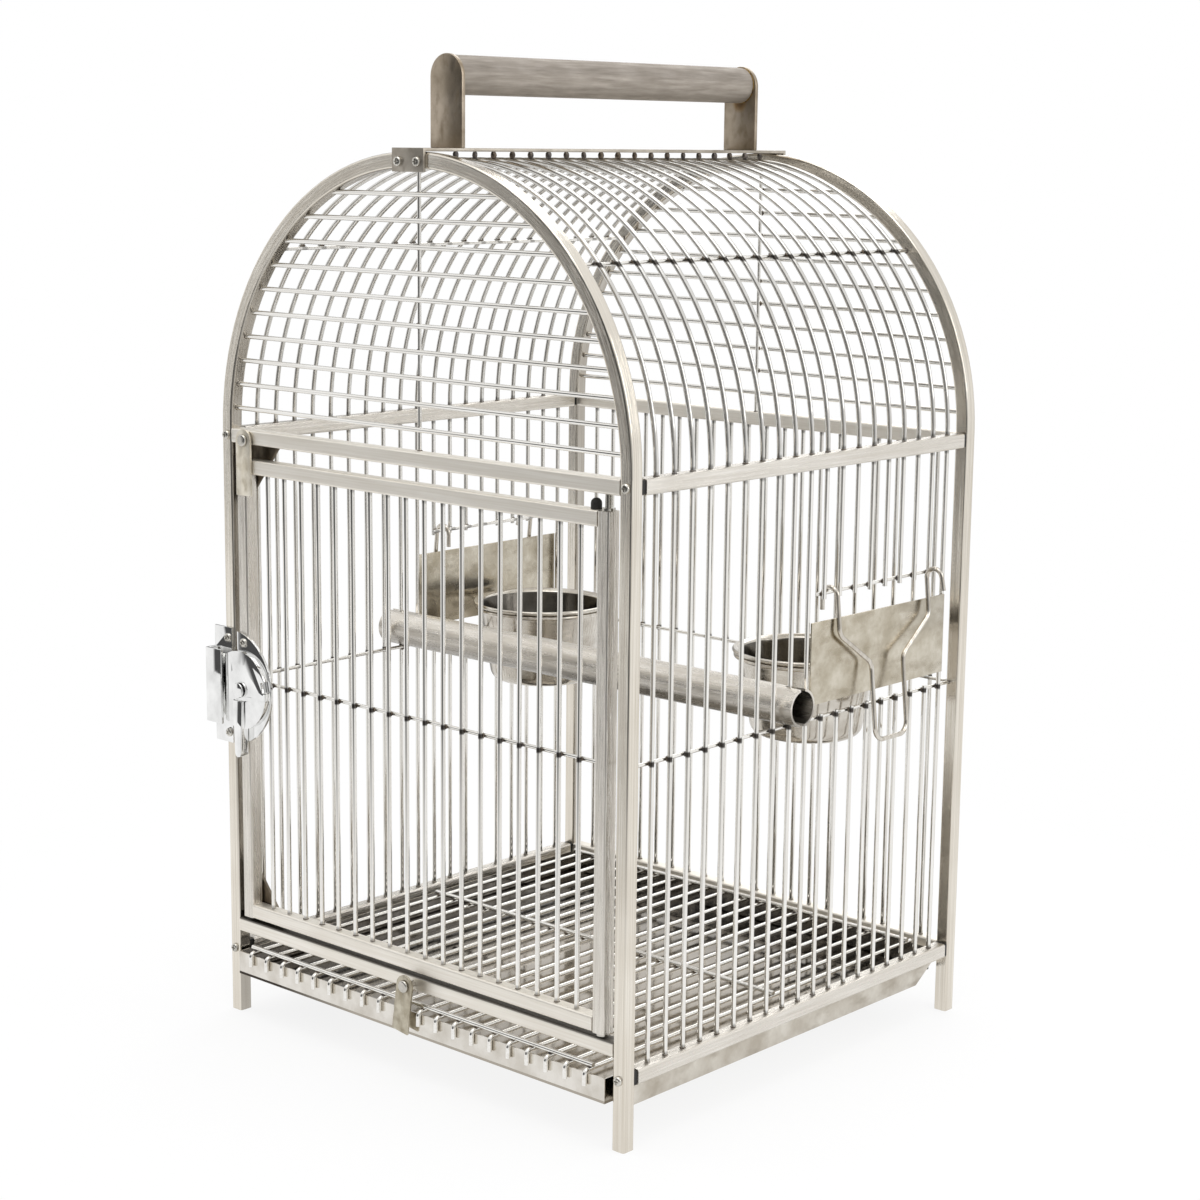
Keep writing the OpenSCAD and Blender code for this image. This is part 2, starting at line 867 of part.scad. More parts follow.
module door_cross_wire() {
  color("silver")
    translate([(door_inner_left + door_inner_right) / 2, door_y + cross_offset, mid_wire_height])
      rod_along_x(door_inner_width, wire_diameter);
}

module hinge_pin(reach) {
  plug_diameter = tube_inner - 2 * plug_clearance;
  translate([0, 0, -plug_body_length])
    cylinder(h = plug_body_length, d = plug_diameter);
  cylinder(h = hinge_collar_height, d = hinge_collar_diameter);
  cylinder(h = reach + hinge_engagement, d = hinge_pin_diameter);
}

module hinge_pins() {
  color("gray") {
    translate([hinge_x, door_y, door_top])
      hinge_pin(door_top_gap);
    translate([hinge_x, door_y, door_bottom])
      rotate([180, 0, 0])
        hinge_pin(door_sill_gap);
  }
}

module door_buffer() {
  buffer_radius = buffer_diameter / 2;
  neck = buffer_rise - buffer_radius;
  color("black")
    translate([door_inner_right - buffer_inset, door_y, door_top])
      rotate_extrude() {
        square([buffer_radius, neck]);
        translate([0, neck])
          intersection() {
            circle(r = buffer_radius);
            square(buffer_radius);
          }
      }
}

module latch_case() {
  color("gainsboro")
    plate_facing_front(case_front, case_thickness)
      intersection() {
        translate([door_left - case_offset, latch_height])
          circle(r = case_radius);
        translate([door_left, latch_height - case_radius])
          square([2 * case_radius, 2 * case_radius]);
      }
}

module case_screw() {
  color("gainsboro")
    head_on(latch_x, case_front, latch_height + case_screw_rise, 1, screw_head_diameter, screw_head_height);
}

module latch_pivot() {
  shank = cam_thickness + 2 * turn_clearance;
  color("gainsboro") {
    head_on(latch_x, case_front, latch_height, 1, pivot_diameter, shank);
    head_on(latch_x, case_front - shank, latch_height, 1, pivot_head_diameter, pivot_head_height);
  }
}

module cam_disc() {
  slot_x = -cam_lever_width / 2 - cam_slot_width;
  difference() {
    intersection() {
      circle(r = cam_reach);
      translate([-cam_flat, -cam_reach])
        square([cam_flat + cam_reach, 2 * cam_reach]);
    }
    circle(d = cam_bore);
    rotate(cam_notch_angle)
      translate([cam_reach - cam_notch_depth, -cam_notch_width / 2])
        square([cam_notch_depth + overrun, cam_notch_width]);
    translate([slot_x, -cam_reach - overrun])
      square([cam_slot_width, cam_reach + overrun - cam_lever_start]);
  }
}

module thumb_lever() {
  tip_z = cam_tip_width / 2 - cam_lever_length;
  polygon([
    [-cam_lever_width / 2, -cam_lever_start],
    [-cam_tip_width / 2, tip_z],
    [cam_tip_width / 2, tip_z],
    [cam_lever_width / 2, -cam_lever_start]
  ]);
  translate([0, tip_z])
    circle(d = cam_tip_width);
}

module latch_cam() {
  color("gainsboro") {
    plate_facing_front(cam_front, cam_thickness)
      translate([latch_x, latch_height])
        cam_disc();
    plate_facing_front(lever_front, cam_thickness + cam_lever_rise)
      translate([latch_x, latch_height])
        thumb_lever();
  }
}

module turn_button(x, z, back_y, length, lean) {
  color("silver")
    plate_facing_front(back_y - button_thickness, button_thickness)
      translate([x, z])
        rotate(-lean)
          difference() {
            union() {
              circle(d = button_width);
              translate([-button_width / 2, -length])
                square([button_width, length]);
            }
            circle(d = button_bore);
          }
}

module door_button() {
  turn_button(door_button_x, door_button_z, door_button_back, door_button_length, 0);
}

module tray_button() {
  turn_button(tray_button_x, sill_z, tray_button_back, tray_button_length, tray_button_lean);
}

module tray() {
  color("silver")
    difference() {
      translate([-tray_half, tray_front, tray_bottom])
        cube([2 * tray_half, tray_rear - tray_front, tray_height]);
      translate([tray_sheet - tray_half, tray_front + tray_sheet, tray_bottom + tray_sheet])
        cube([2 * (tray_half - tray_sheet), tray_rear - tray_front - 2 * tray_sheet, tray_height]);
    }
}

module grate() {
  straight = grate_rear - grate_end_y - grate_bend;
  color("silver") {
    for (side = [-1, 1])
      for (index = [0 : grate_half_count - 1])
        translate([side * (grate_first + index * grate_pitch), grate_rear, grate_z])
          rotate([90, 0, 0])
            bent_wire([[straight, -90, 90, grate_bend], [grate_drop, 0, 0, 0]], bar_diameter);
    for (y = [grate_end_y + grate_bend + bar_radius, 0, grate_rear - grate_rod_inset])
      translate([0, y, grate_rod_z])
        rod_along_x(2 * grate_half, bar_diameter);
  }
}

module feeder_plate(side) {
  color("silver")
    scale([side, 1, 1])
      translate([plate_x, feeder_y - plate_width / 2, plate_height])
        cube([plate_thickness, plate_width, plate_rise]);
}

module hanger_wire(side) {
  hook_turn = 180 - hanger_lean;
  color("silver")
    scale([side, 1, 1])
      translate([hanger_start_x, feeder_y - hook_half, hook_axis_z - hook_tail])
        bent_wire([
          [hook_tail, 0, hook_turn, hook_bend],
          [hanger_upper, 90, hanger_slant, hanger_bend],
          [slant_length, 180, hanger_slant, hanger_bend],
          [hanger_lower, 180, 90, hanger_bend],
          [loop_straight, 0, 90, hanger_bend],
          [hanger_lower, 180, hanger_slant, hanger_bend],
          [slant_length, 180, hanger_slant, hanger_bend],
          [hanger_upper, 90, hook_turn, hook_bend],
          [hook_tail, 0, 0, 0]
        ], hanger_diameter);
}

module bowl_ring(side) {
  stub_length = plate_x - bowl_x - stub_start;
  color("silver")
    scale([side, 1, 1])
      translate([bowl_x, feeder_y, ring_z]) {
        rotate_extrude()
          translate([ring_radius, 0])
            circle(d = hanger_diameter);
        for (end = [-1, 1])
          translate([stub_start + stub_length / 2, end * stub_offset, 0])
            rod_along_x(stub_length, wire_diameter);
      }
}

module bowl(side) {
  color("gainsboro")
    translate([side * bowl_x, feeder_y, 0])
      rotate_extrude() {
        polygon([
          [0, bowl_floor_z],
          [bowl_floor_radius, bowl_floor_z],
          [bowl_body_radius, bowl_lip_z - bowl_sheet],
          [bowl_roll_centre, bowl_lip_z - bowl_sheet],
          [bowl_roll_centre, bowl_lip_z],
          [bowl_body_radius - bowl_sheet, bowl_lip_z],
          [bowl_floor_radius - bowl_sheet, bowl_floor_z + bowl_sheet],
          [0, bowl_floor_z + bowl_sheet]
        ]);
        translate([bowl_roll_centre, bowl_lip_z])
          circle(r = bowl_roll);
      }
}

module right_feeder_plate() {
  feeder_plate(1);
}

module right_hanger_wire() {
  hanger_wire(1);
}

module right_bowl_ring() {
  bowl_ring(1);
}

module right_bowl() {
  bowl(1);
}

module left_feeder_plate() {
  feeder_plate(-1);
}

module left_hanger_wire() {
  hanger_wire(-1);
}

module left_bowl_ring() {
  bowl_ring(-1);
}

module left_bowl() {
  bowl(-1);
}

module perch() {
  color("silver")
    translate([0, perch_y, perch_z])
      difference() {
        rod_along_x(2 * perch_half, perch_diameter);
        rod_along_x(2 * perch_half + overrun, perch_diameter - 2 * perch_wall);
        for (side = [-1, 1])
          scale([side, 1, 1])
            translate([perch_slot_start, -perch_slot_width / 2, -perch_diameter])
              cube([perch_half - perch_slot_start + overrun, perch_slot_width, 2 * perch_diameter]);
      }
}

front_hoop();
rear_hoop();
front_top_rail();
front_sill();
rear_mid_rail();
rear_bottom_rail();
left_mid_rail();
right_mid_rail();
left_bottom_rail();
right_bottom_rail();
rail_end_plugs();
frame_screws();
left_tray_guide();
right_tray_guide();
left_wall_bars();
right_wall_bars();
left_cross_wires();
right_cross_wires();
rear_wall_bars();
rear_cross_wire();
front_dome_wires();
rear_dome_wires();
dome_arch_bars();
dome_side_wires();
handle_strap();
strap_screws();
front_handle_bracket();
rear_handle_bracket();
handle_grip();
door_stop();
latch_strike();
strike_screws();
button_pins();
door_left_stile();
door_right_stile();
door_top_rail();
door_bottom_rail();
door_bars();
door_cross_wire();
hinge_pins();
door_buffer();
latch_case();
case_screw();
latch_pivot();
latch_cam();
door_button();
tray_button();
tray();
grate();
right_feeder_plate();
right_hanger_wire();
right_bowl_ring();
right_bowl();
left_feeder_plate();
left_hanger_wire();
left_bowl_ring();
left_bowl();
perch();
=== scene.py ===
"""Looks of a stainless dome top parrot carrier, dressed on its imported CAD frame."""
import json
import math
import random
import bpy
from mathutils import Matrix, Vector

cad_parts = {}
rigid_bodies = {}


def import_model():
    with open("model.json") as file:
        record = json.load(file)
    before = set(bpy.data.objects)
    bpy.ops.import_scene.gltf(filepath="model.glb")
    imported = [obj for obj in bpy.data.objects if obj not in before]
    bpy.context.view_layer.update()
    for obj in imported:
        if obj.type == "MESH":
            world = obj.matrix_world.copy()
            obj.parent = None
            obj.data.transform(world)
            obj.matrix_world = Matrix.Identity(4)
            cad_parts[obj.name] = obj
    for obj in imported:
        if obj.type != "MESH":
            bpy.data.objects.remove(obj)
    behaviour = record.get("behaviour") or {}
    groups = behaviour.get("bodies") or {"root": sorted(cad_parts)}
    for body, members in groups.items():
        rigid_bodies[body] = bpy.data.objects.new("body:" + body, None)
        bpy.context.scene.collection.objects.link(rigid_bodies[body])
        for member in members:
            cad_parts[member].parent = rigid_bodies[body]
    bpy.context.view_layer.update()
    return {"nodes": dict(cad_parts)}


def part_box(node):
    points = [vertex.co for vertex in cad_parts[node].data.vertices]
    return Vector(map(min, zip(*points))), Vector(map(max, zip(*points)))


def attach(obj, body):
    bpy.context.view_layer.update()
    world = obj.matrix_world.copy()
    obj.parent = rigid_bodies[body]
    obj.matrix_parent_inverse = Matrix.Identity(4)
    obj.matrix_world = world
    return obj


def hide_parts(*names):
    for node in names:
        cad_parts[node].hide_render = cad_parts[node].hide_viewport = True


# A new file's own objects go first.
for spare in list(bpy.data.objects):
    bpy.data.objects.remove(spare)
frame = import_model()
cad = frame["nodes"]
scene = bpy.context.scene

# Sizes of the frame, in millimetres as in the part's source.
MM = 0.001
POST_X, POST_Y = 173.25, 165.25  # axes of the posts
INNER_X, INNER_Y = 168.5, 160.5  # the posts' faces towards the inside
HALF_DEPTH = 170
SPRING = 396.5  # height where the hoops begin to bend
RAIL_UNDER, LOW_RAIL_TOP = 387, 48.5
MID_RAIL_Z, LOW_RAIL_Z = 391.75, 43.75
CROSS = 2.75  # from the axes of a row of bars to that of the wire across them
WELD = 1.55  # from the axes of the bars to their welds on that wire
SIDE_BARS, REAR_BARS, DOOR_BARS, GRATE_WIRES = 19, 20, 18, 10
SIDE_PITCH = 2 * INNER_Y / (SIDE_BARS + 1)
REAR_PITCH = 2 * INNER_X / (REAR_BARS + 1)
MID_WIRE, UPPER_WIRE = 229.4, 308
FIRST_CUT, LAST_CUT = 11, 18  # the side bars that a feeder opening cuts
PERCH_BAR = 9  # the side bar that the perch straddles
DOME_ANGLE = math.radians(43)
DOME_WIRE_Z = SPRING + (POST_X - CROSS) * math.sin(DOME_ANGLE)
END_WIRES, END_FIRST, END_PITCH = 10, 13, 15.55
DOOR_LEFT, DOOR_RIGHT, DOOR_LOW, DOOR_HIGH = -154.2, 152, 78, 367.8
DOOR_PITCH = (DOOR_RIGHT - DOOR_LEFT) / (DOOR_BARS + 1)
DOOR_Y = -165.65
GRATE_FIRST, GRATE_PITCH, GRATE_WELD_Z = 10.3, 15.65, 47.2
GRATE_RODS = (-170.6, 0, 147)
FEEDER_Y, BOWL_X = 72.225, 119.5
BOWL_RIM_R, BOWL_ROLL, BOWL_RIM_Z, BOWL_FLOOR_Z = 49.5, 1.4, 258, 201
BOWL_BODY_R, BOWL_FLOOR_R, BOWL_SHEET = 45, 36, 0.9
STRAP_TAB_Y, STRAP_SCREW_X, STRAP_SCREW_Z = 172, 8, 568.6
LATCH_X, LATCH_Z, CASE_FRONT = -156.5, 225.5, -172.4
STRIKE_FRONT, STRIKE_SCREW_REACH, CASE_SCREW_RISE = -171.5, 32, 31
GRIP_Z, GRIP_R, GRIP_HALF = 619.6, 11.75, 137.3
STRAP_HALF, STRAP_UNDER = 13.5, 574.6
TRAY_FLOOR_TOP = 30
DOOR_BUTTON_X, DOOR_BUTTON_Z, TRAY_BUTTON_X, TRAY_BUTTON_Z = -154.7, 389.8, 1, 61.25
TURN_GAP = 0.3  # between a turn button and its rivet's head
MERGE = 0.01  # points nearer to each other than this are one


# ---------------------------------------------------------------- materials

def linear(code):
    """An sRGB hex colour as linear red, green, blue and alpha."""
    parts = [int(code[i:i + 2], 16) / 255 for i in (1, 3, 5)]
    return [p / 12.92 if p <= 0.04045 else ((p + 0.055) / 1.055) ** 2.4 for p in parts] + [1.0]


def add(tree, kind, inputs=None, **settings):
    """Adds a node with its settings, values and links; a node given as a value links its live output."""
    made = tree.nodes.new(kind)
    for name, value in settings.items():
        setattr(made, name, value)
    for name, value in (inputs or {}).items():
        if isinstance(value, bpy.types.Node):
            value = next(out for out in value.outputs if out.enabled)
        if isinstance(value, bpy.types.NodeSocket):
            tree.links.new(value, made.inputs[name])
        else:
            made.inputs[name].default_value = value
    return made


def start(name):
    """A new material, its empty tree and its Object coordinates."""
    material = bpy.data.materials.new(name)
    material.use_nodes = True
    material.node_tree.nodes.clear()
    return material, material.node_tree, add(material.node_tree, "ShaderNodeTexCoord").outputs["Object"]


def per_mm(*sizes):
    """Scales of a pattern whose lumps measure these millimetres."""
    return [1 / (size * MM) for size in sizes]


# Sizes of patterns and marks in millimetres.
LONE = 2000  # pitch of a mark that doesn't repeat
HAIR_LENGTH, HAIR_PITCH = 30, 0.25
SMEAR, PIT = (5, 22, 9), 1.6
BUFFING_HAZE, BOWL_HAZE = 14, 18
LATHE_RINGS = (1.8, 2.2, 1000)  # across the axis, along it, and none round it
CRUST, HEAT_PATCH = 2.2, 40
# Between these two lie nearly all values of a noise.
NOISE_LOW, NOISE_HIGH = 0.3, 0.7
# the first brown serves both the heat of welds and painted shade
HEAT_AND_SHADE_BROWN, STRAW_GOLD, BURNT_BROWN = "#332E29", "#9A7338", "#54402C"


def brushed_stainless(name, along, light, dark, polish=(0.2, 0.34), streak=(1.2, 70), blotch=38,
                      hairline=0.16, tint=None, bend=0):
    """Stainless steel ground along one direction on an abrasive belt, which leaves hairlines 0.25 mm apart
    that stretch every reflection across them, and cloudy patches where the belt pressed harder.
    Broader streaks over 1 mm wide are drawn too, because single hairlines are too fine to show.
    Where tint is given, (axis, marks) browns the steel at marks (place, pitch, reach, depth) along an axis:
    the heat of welds, and painted shade on the hoops' inner faces, the sill's top, the perch's underside and
    the tops of the grip and dome.
    Where bend is given, the belt and the tint follow a tube bent over the dome to that radius."""
    material, tree, place = start(name)
    if bend:
        x, y, z = add(tree, "ShaderNodeSeparateXYZ", {0: place}).outputs
        rise = add(tree, "ShaderNodeMath", {0: z, 1: SPRING * MM}, operation="SUBTRACT")
        over = add(tree, "ShaderNodeMath", {0: rise, 1: 0.0}, operation="MAXIMUM")
        leg = add(tree, "ShaderNodeMath", {0: rise, 1: 0.0}, operation="MINIMUM")
        spoke = add(tree, "ShaderNodeCombineXYZ", {0: x, 2: over})
        out = add(tree, "ShaderNodeVectorMath", {0: spoke}, operation="LENGTH").outputs["Value"]
        angle = add(tree, "ShaderNodeMath", {0: over, 1: x}, operation="ARCTAN2")
        run = add(tree, "ShaderNodeMath", {0: angle, 1: bend * MM, 2: leg}, operation="MULTIPLY_ADD")
        place = add(tree, "ShaderNodeCombineXYZ", {0: out, 1: y, 2: run})
    lay = add(tree, "ShaderNodeMapping", {
        "Vector": place, "Scale": per_mm(*[streak[1] if axis == along else streak[0] for axis in "XYZ"])})
    scratch = add(tree, "ShaderNodeTexNoise", {"Vector": lay, "Scale": 1.0, "Detail": 3.0, "Roughness": 0.55})
    cloud = add(tree, "ShaderNodeTexNoise", {"Vector": place, "Scale": per_mm(blotch)[0], "Detail": 2.0})
    toned = add(tree, "ShaderNodeMapRange", {"Value": scratch, "From Min": NOISE_LOW, "From Max": NOISE_HIGH})
    colour = add(tree, "ShaderNodeMix", {0: toned, 6: linear(light), 7: linear(dark)}, data_type="RGBA")
    smoky = add(tree, "ShaderNodeMapRange", {"Value": cloud, "From Min": 0.35, "From Max": 0.7,
                                             "To Max": 0.55})
    colour = add(tree, "ShaderNodeMix", {0: smoky, 6: colour, 7: linear(dark)}, data_type="RGBA")
    if tint:
        axis, marks = tint
        part = add(tree, "ShaderNodeSeparateXYZ", {0: place}).outputs["XYZ".index(axis)]
        for spot, pitch, reach, depth in marks:
            away = add(tree, "ShaderNodeMath", {0: part, 1: spot * MM}, operation="SUBTRACT")
            away = add(tree, "ShaderNodeMath", {0: away, 1: pitch * MM / 2}, operation="PINGPONG")
            burn_and_shade = add(tree, "ShaderNodeMapRange", {"Value": away, "From Min": reach * MM,
                                                     "From Max": reach * 0.5 * MM, "To Max": depth})
            colour = add(tree, "ShaderNodeMix", {0: burn_and_shade, 6: colour, 7: linear(HEAT_AND_SHADE_BROWN)},
                         data_type="RGBA")
    rough = add(tree, "ShaderNodeMapRange", {"Value": scratch, "From Min": NOISE_LOW, "From Max": NOISE_HIGH,
                                             "To Min": polish[0], "To Max": polish[1]})
    fine = add(tree, "ShaderNodeMapping", {
        "Vector": place, "Scale": per_mm(*[HAIR_LENGTH if axis == along else HAIR_PITCH for axis in "XYZ"])})
    hair = add(tree, "ShaderNodeTexNoise", {"Vector": fine, "Scale": 1.0, "Detail": 1.0})
    bump = add(tree, "ShaderNodeBump", {"Height": hair, "Strength": 1.0, "Distance": hairline * MM})
    shader = add(tree, "ShaderNodeBsdfPrincipled", {"Base Color": colour, "Metallic": 1.0, "Roughness": rough,
                                                    "Normal": bump})
    add(tree, "ShaderNodeOutputMaterial", {"Surface": shader})
    return material


def mill_sheet(name, light, dark, stain, size=26, polish=(0.3, 0.5), burn=None):
    """Cold-rolled stainless sheet left as it came from the mill: a dull grey skin with cloudy blotches,
    handling smears along the sheet and a yellow cast, so it mirrors only broad light and shade.
    Where burn is given, (x, z, reach) is a weld that turned the sheet straw gold and brown around it."""
    material, tree, place = start(name)
    cloud = add(tree, "ShaderNodeTexNoise", {"Vector": place, "Scale": per_mm(size)[0], "Detail": 5.0,
                                             "Roughness": 0.62})
    lay = add(tree, "ShaderNodeMapping", {"Vector": place, "Scale": per_mm(*SMEAR)})
    smear = add(tree, "ShaderNodeTexNoise", {"Vector": lay, "Scale": 1.0, "Detail": 3.0})
    pit = add(tree, "ShaderNodeTexNoise", {"Vector": place, "Scale": per_mm(PIT)[0], "Detail": 2.0})
    patch = add(tree, "ShaderNodeMapRange", {"Value": cloud, "From Min": 0.36, "From Max": 0.66})
    colour = add(tree, "ShaderNodeMix", {0: patch, 6: linear(light), 7: linear(dark)}, data_type="RGBA")
    soiled = add(tree, "ShaderNodeMapRange", {"Value": smear, "From Min": 0.52, "From Max": 0.75,
                                              "To Max": 0.6})
    colour = add(tree, "ShaderNodeMix", {0: soiled, 6: colour, 7: linear(stain)}, data_type="RGBA")
    if burn:
        x, z, reach = burn
        middle = add(tree, "ShaderNodeMapping", {"Vector": place, "Location": (-x * MM, 0, -z * MM),
                                                 "Scale": (1, 0, 1)})
        away = add(tree, "ShaderNodeVectorMath", {0: middle}, operation="LENGTH").outputs["Value"]
        gold = add(tree, "ShaderNodeMapRange", {"Value": away, "From Min": reach * 1.7 * MM,
                                                "From Max": reach * MM, "To Max": 0.55})
        brown = add(tree, "ShaderNodeMapRange", {"Value": away, "From Min": reach * 1.25 * MM,
                                                 "From Max": reach * 0.5 * MM, "To Max": 0.6})
        colour = add(tree, "ShaderNodeMix", {0: gold, 6: colour, 7: linear(STRAW_GOLD)}, data_type="RGBA")
        colour = add(tree, "ShaderNodeMix", {0: brown, 6: colour, 7: linear(BURNT_BROWN)}, data_type="RGBA")
    rough = add(tree, "ShaderNodeMapRange", {"Value": smear, "From Min": NOISE_LOW, "From Max": NOISE_HIGH,
                                             "To Min": polish[0], "To Max": polish[1]})
    bump = add(tree, "ShaderNodeBump", {"Height": pit, "Strength": 0.15, "Distance": 0.08 * MM})
    shader = add(tree, "ShaderNodeBsdfPrincipled", {"Base Color": colour, "Metallic": 1.0, "Roughness": rough,
                                                    "Normal": bump})
    add(tree, "ShaderNodeOutputMaterial", {"Surface": shader})
    return material


def polished(name, light, dark, rough, wave_size, wave_depth, floor_and_reflection=None):
    """Buffed bright steel or plating: nearly a mirror, with thin buffing haze and a surface that is
    never quite flat, so what it mirrors bends in slow waves.
    Where its last argument is given, (height, colour, left, rear, reflection) gives what lies lower than that
    height another colour, and paints a dark reflection of the shaded walls along the left and rear walls,
    fading in between two places each."""
    material, tree, place = start(name)
    haze = add(tree, "ShaderNodeTexNoise", {"Vector": place, "Scale": per_mm(BUFFING_HAZE)[0], "Detail": 4.0})
    wave = add(tree, "ShaderNodeTexNoise", {"Vector": place, "Scale": per_mm(wave_size)[0], "Detail": 1.0})
    dull = add(tree, "ShaderNodeMapRange", {"Value": haze, "From Min": 0.35, "From Max": 0.7})
    colour = add(tree, "ShaderNodeMix", {0: dull, 6: linear(light), 7: linear(dark)}, data_type="RGBA")
    if floor_and_reflection:
        top, floor_tone, left, rear, painted_reflection = floor_and_reflection
        x, y, z = add(tree, "ShaderNodeSeparateXYZ", {0: place}).outputs
        under = add(tree, "ShaderNodeMath", {0: z, 1: top * MM}, operation="LESS_THAN")
        leftward = add(tree, "ShaderNodeMapRange", {"Value": x, "From Min": left[0] * MM,
                                                    "From Max": left[1] * MM})
        rearward = add(tree, "ShaderNodeMapRange", {"Value": y, "From Min": rear[0] * MM,
                                                    "From Max": rear[1] * MM})
        edge = add(tree, "ShaderNodeMath", {0: leftward, 1: rearward}, operation="MAXIMUM")
        toned = add(tree, "ShaderNodeMix", {0: edge, 6: linear(floor_tone), 7: linear(painted_reflection)}, data_type="RGBA")
        colour = add(tree, "ShaderNodeMix", {0: under, 6: colour, 7: toned}, data_type="RGBA")
    gloss = add(tree, "ShaderNodeMapRange", {"Value": haze, "From Min": 0.35, "From Max": 0.75,
                                             "To Min": rough[0], "To Max": rough[1]})
    bump = add(tree, "ShaderNodeBump", {"Height": wave, "Strength": 0.5, "Distance": wave_depth * MM})
    shader = add(tree, "ShaderNodeBsdfPrincipled", {"Base Color": colour, "Metallic": 1.0, "Roughness": gloss,
                                                    "Normal": bump})
    add(tree, "ShaderNodeOutputMaterial", {"Surface": shader})
    return material


def spun_bowl_steel(name, x, y, light, dark):
    """A deep-drawn bowl polished on a lathe: bright steel with faint rings round its axis, about 2 mm
    apart here because the true ones are too fine to show. Given darker colours, it paints the shade inside
    the bowls."""
    material, tree, place = start(name)
    middle = add(tree, "ShaderNodeMapping", {"Vector": place, "Location": (-x * MM, -y * MM, 0)})
    flat = add(tree, "ShaderNodeVectorMath", {0: middle, 1: (1, 1, 0)}, operation="MULTIPLY")
    reach = add(tree, "ShaderNodeVectorMath", {0: flat}, operation="LENGTH").outputs["Value"]
    height = add(tree, "ShaderNodeSeparateXYZ", {0: place}).outputs[2]
    rings = add(tree, "ShaderNodeCombineXYZ", {0: reach, 1: height})
    lathe = add(tree, "ShaderNodeMapping", {"Vector": rings, "Scale": per_mm(*LATHE_RINGS)})
    ring = add(tree, "ShaderNodeTexNoise", {"Vector": lathe, "Scale": 1.0, "Detail": 3.0})
    haze = add(tree, "ShaderNodeTexNoise", {"Vector": place, "Scale": per_mm(BOWL_HAZE)[0], "Detail": 3.0})
    dull = add(tree, "ShaderNodeMapRange", {"Value": haze, "From Min": 0.35, "From Max": 0.7})
    colour = add(tree, "ShaderNodeMix", {0: dull, 6: linear(light), 7: linear(dark)}, data_type="RGBA")
    gloss = add(tree, "ShaderNodeMapRange", {"Value": ring, "From Min": NOISE_LOW, "From Max": NOISE_HIGH,
                                             "To Min": 0.08, "To Max": 0.2})
    bump = add(tree, "ShaderNodeBump", {"Height": ring, "Strength": 0.2, "Distance": 0.05 * MM})
    shader = add(tree, "ShaderNodeBsdfPrincipled", {"Base Color": colour, "Metallic": 1.0, "Roughness": gloss,
                                                    "Normal": bump})
    add(tree, "ShaderNodeOutputMaterial", {"Surface": shader})
    return material


def burnt_weld(name, light, dark, blue):
    """A resistance weld: steel squeezed out at red heat, rough and oxidised from straw to brown and
    blue-grey, so each crossing reads as a small dark dot."""
    material, tree, place = start(name)
    scale = add(tree, "ShaderNodeTexNoise", {"Vector": place, "Scale": per_mm(CRUST)[0], "Detail": 3.0})
    heat = add(tree, "ShaderNodeTexNoise", {"Vector": place, "Scale": per_mm(HEAT_PATCH)[0], "Detail": 1.0})
    crust = add(tree, "ShaderNodeMapRange", {"Value": scale, "From Min": 0.35, "From Max": 0.65})
    colour = add(tree, "ShaderNodeMix", {0: crust, 6: linear(light), 7: linear(dark)}, data_type="RGBA")
    hot = add(tree, "ShaderNodeMapRange", {"Value": heat, "From Min": 0.45, "From Max": 0.7, "To Max": 0.5})
    colour = add(tree, "ShaderNodeMix", {0: hot, 6: colour, 7: linear(blue)}, data_type="RGBA")
    rough = add(tree, "ShaderNodeMapRange", {"Value": scale, "From Min": NOISE_LOW, "From Max": NOISE_HIGH,
                                             "To Min": 0.35, "To Max": 0.6})
    bump = add(tree, "ShaderNodeBump", {"Height": scale, "Strength": 0.4, "Distance": 0.2 * MM})
    shader = add(tree, "ShaderNodeBsdfPrincipled", {"Base Color": colour, "Metallic": 1.0, "Roughness": rough,
                                                    "Normal": bump})
    add(tree, "ShaderNodeOutputMaterial", {"Surface": shader})
    return material


def moulded_black(name, light, dark, rough, grain):
    """Black polythene or rubber as it comes from the mould: matt, with a fine spark-eroded grain and
    paler scuffs on it."""
    material, tree, place = start(name)
    pit = add(tree, "ShaderNodeTexNoise", {"Vector": place, "Scale": per_mm(grain)[0], "Detail": 2.0})
    scuff = add(tree, "ShaderNodeMapRange", {"Value": pit, "From Min": NOISE_LOW, "From Max": NOISE_HIGH})
    colour = add(tree, "ShaderNodeMix", {0: scuff, 6: linear(dark), 7: linear(light)}, data_type="RGBA")
    matt = add(tree, "ShaderNodeMapRange", {"Value": pit, "From Min": NOISE_LOW, "From Max": NOISE_HIGH,
                                            "To Min": rough[0], "To Max": rough[1]})
    bump = add(tree, "ShaderNodeBump", {"Height": pit, "Strength": 0.3, "Distance": 0.1 * MM})
    shader = add(tree, "ShaderNodeBsdfPrincipled", {"Base Color": colour, "Metallic": 0.0, "Roughness": matt,
                                                    "IOR": 1.5, "Normal": bump})
    add(tree, "ShaderNodeOutputMaterial", {"Surface": shader})
    return material


TUBE = ("#ECE8E1", "#D4CEC4")
WIRE = ("#F6F5F2", "#E4E1DB")
BRIGHT = dict(polish=(0.05, 0.11), hairline=0.0)  # wire drawn bright through a die, with no belt marks
tube_up = brushed_stainless("satin_stainless_tube_upright", "Z", *TUBE)
# the mark at INNER_X is painted shade over the hoops' inner faces
tube_bent = brushed_stainless("satin_stainless_tube_bent", "Z", "#ECE7DD", "#D4CCBF", polish=(0.1, 0.2),
                              streak=(1.2, 110), hairline=0.07, bend=POST_X,
                              tint=("X", ((INNER_X, LONE, 0.6, 0.4),)))
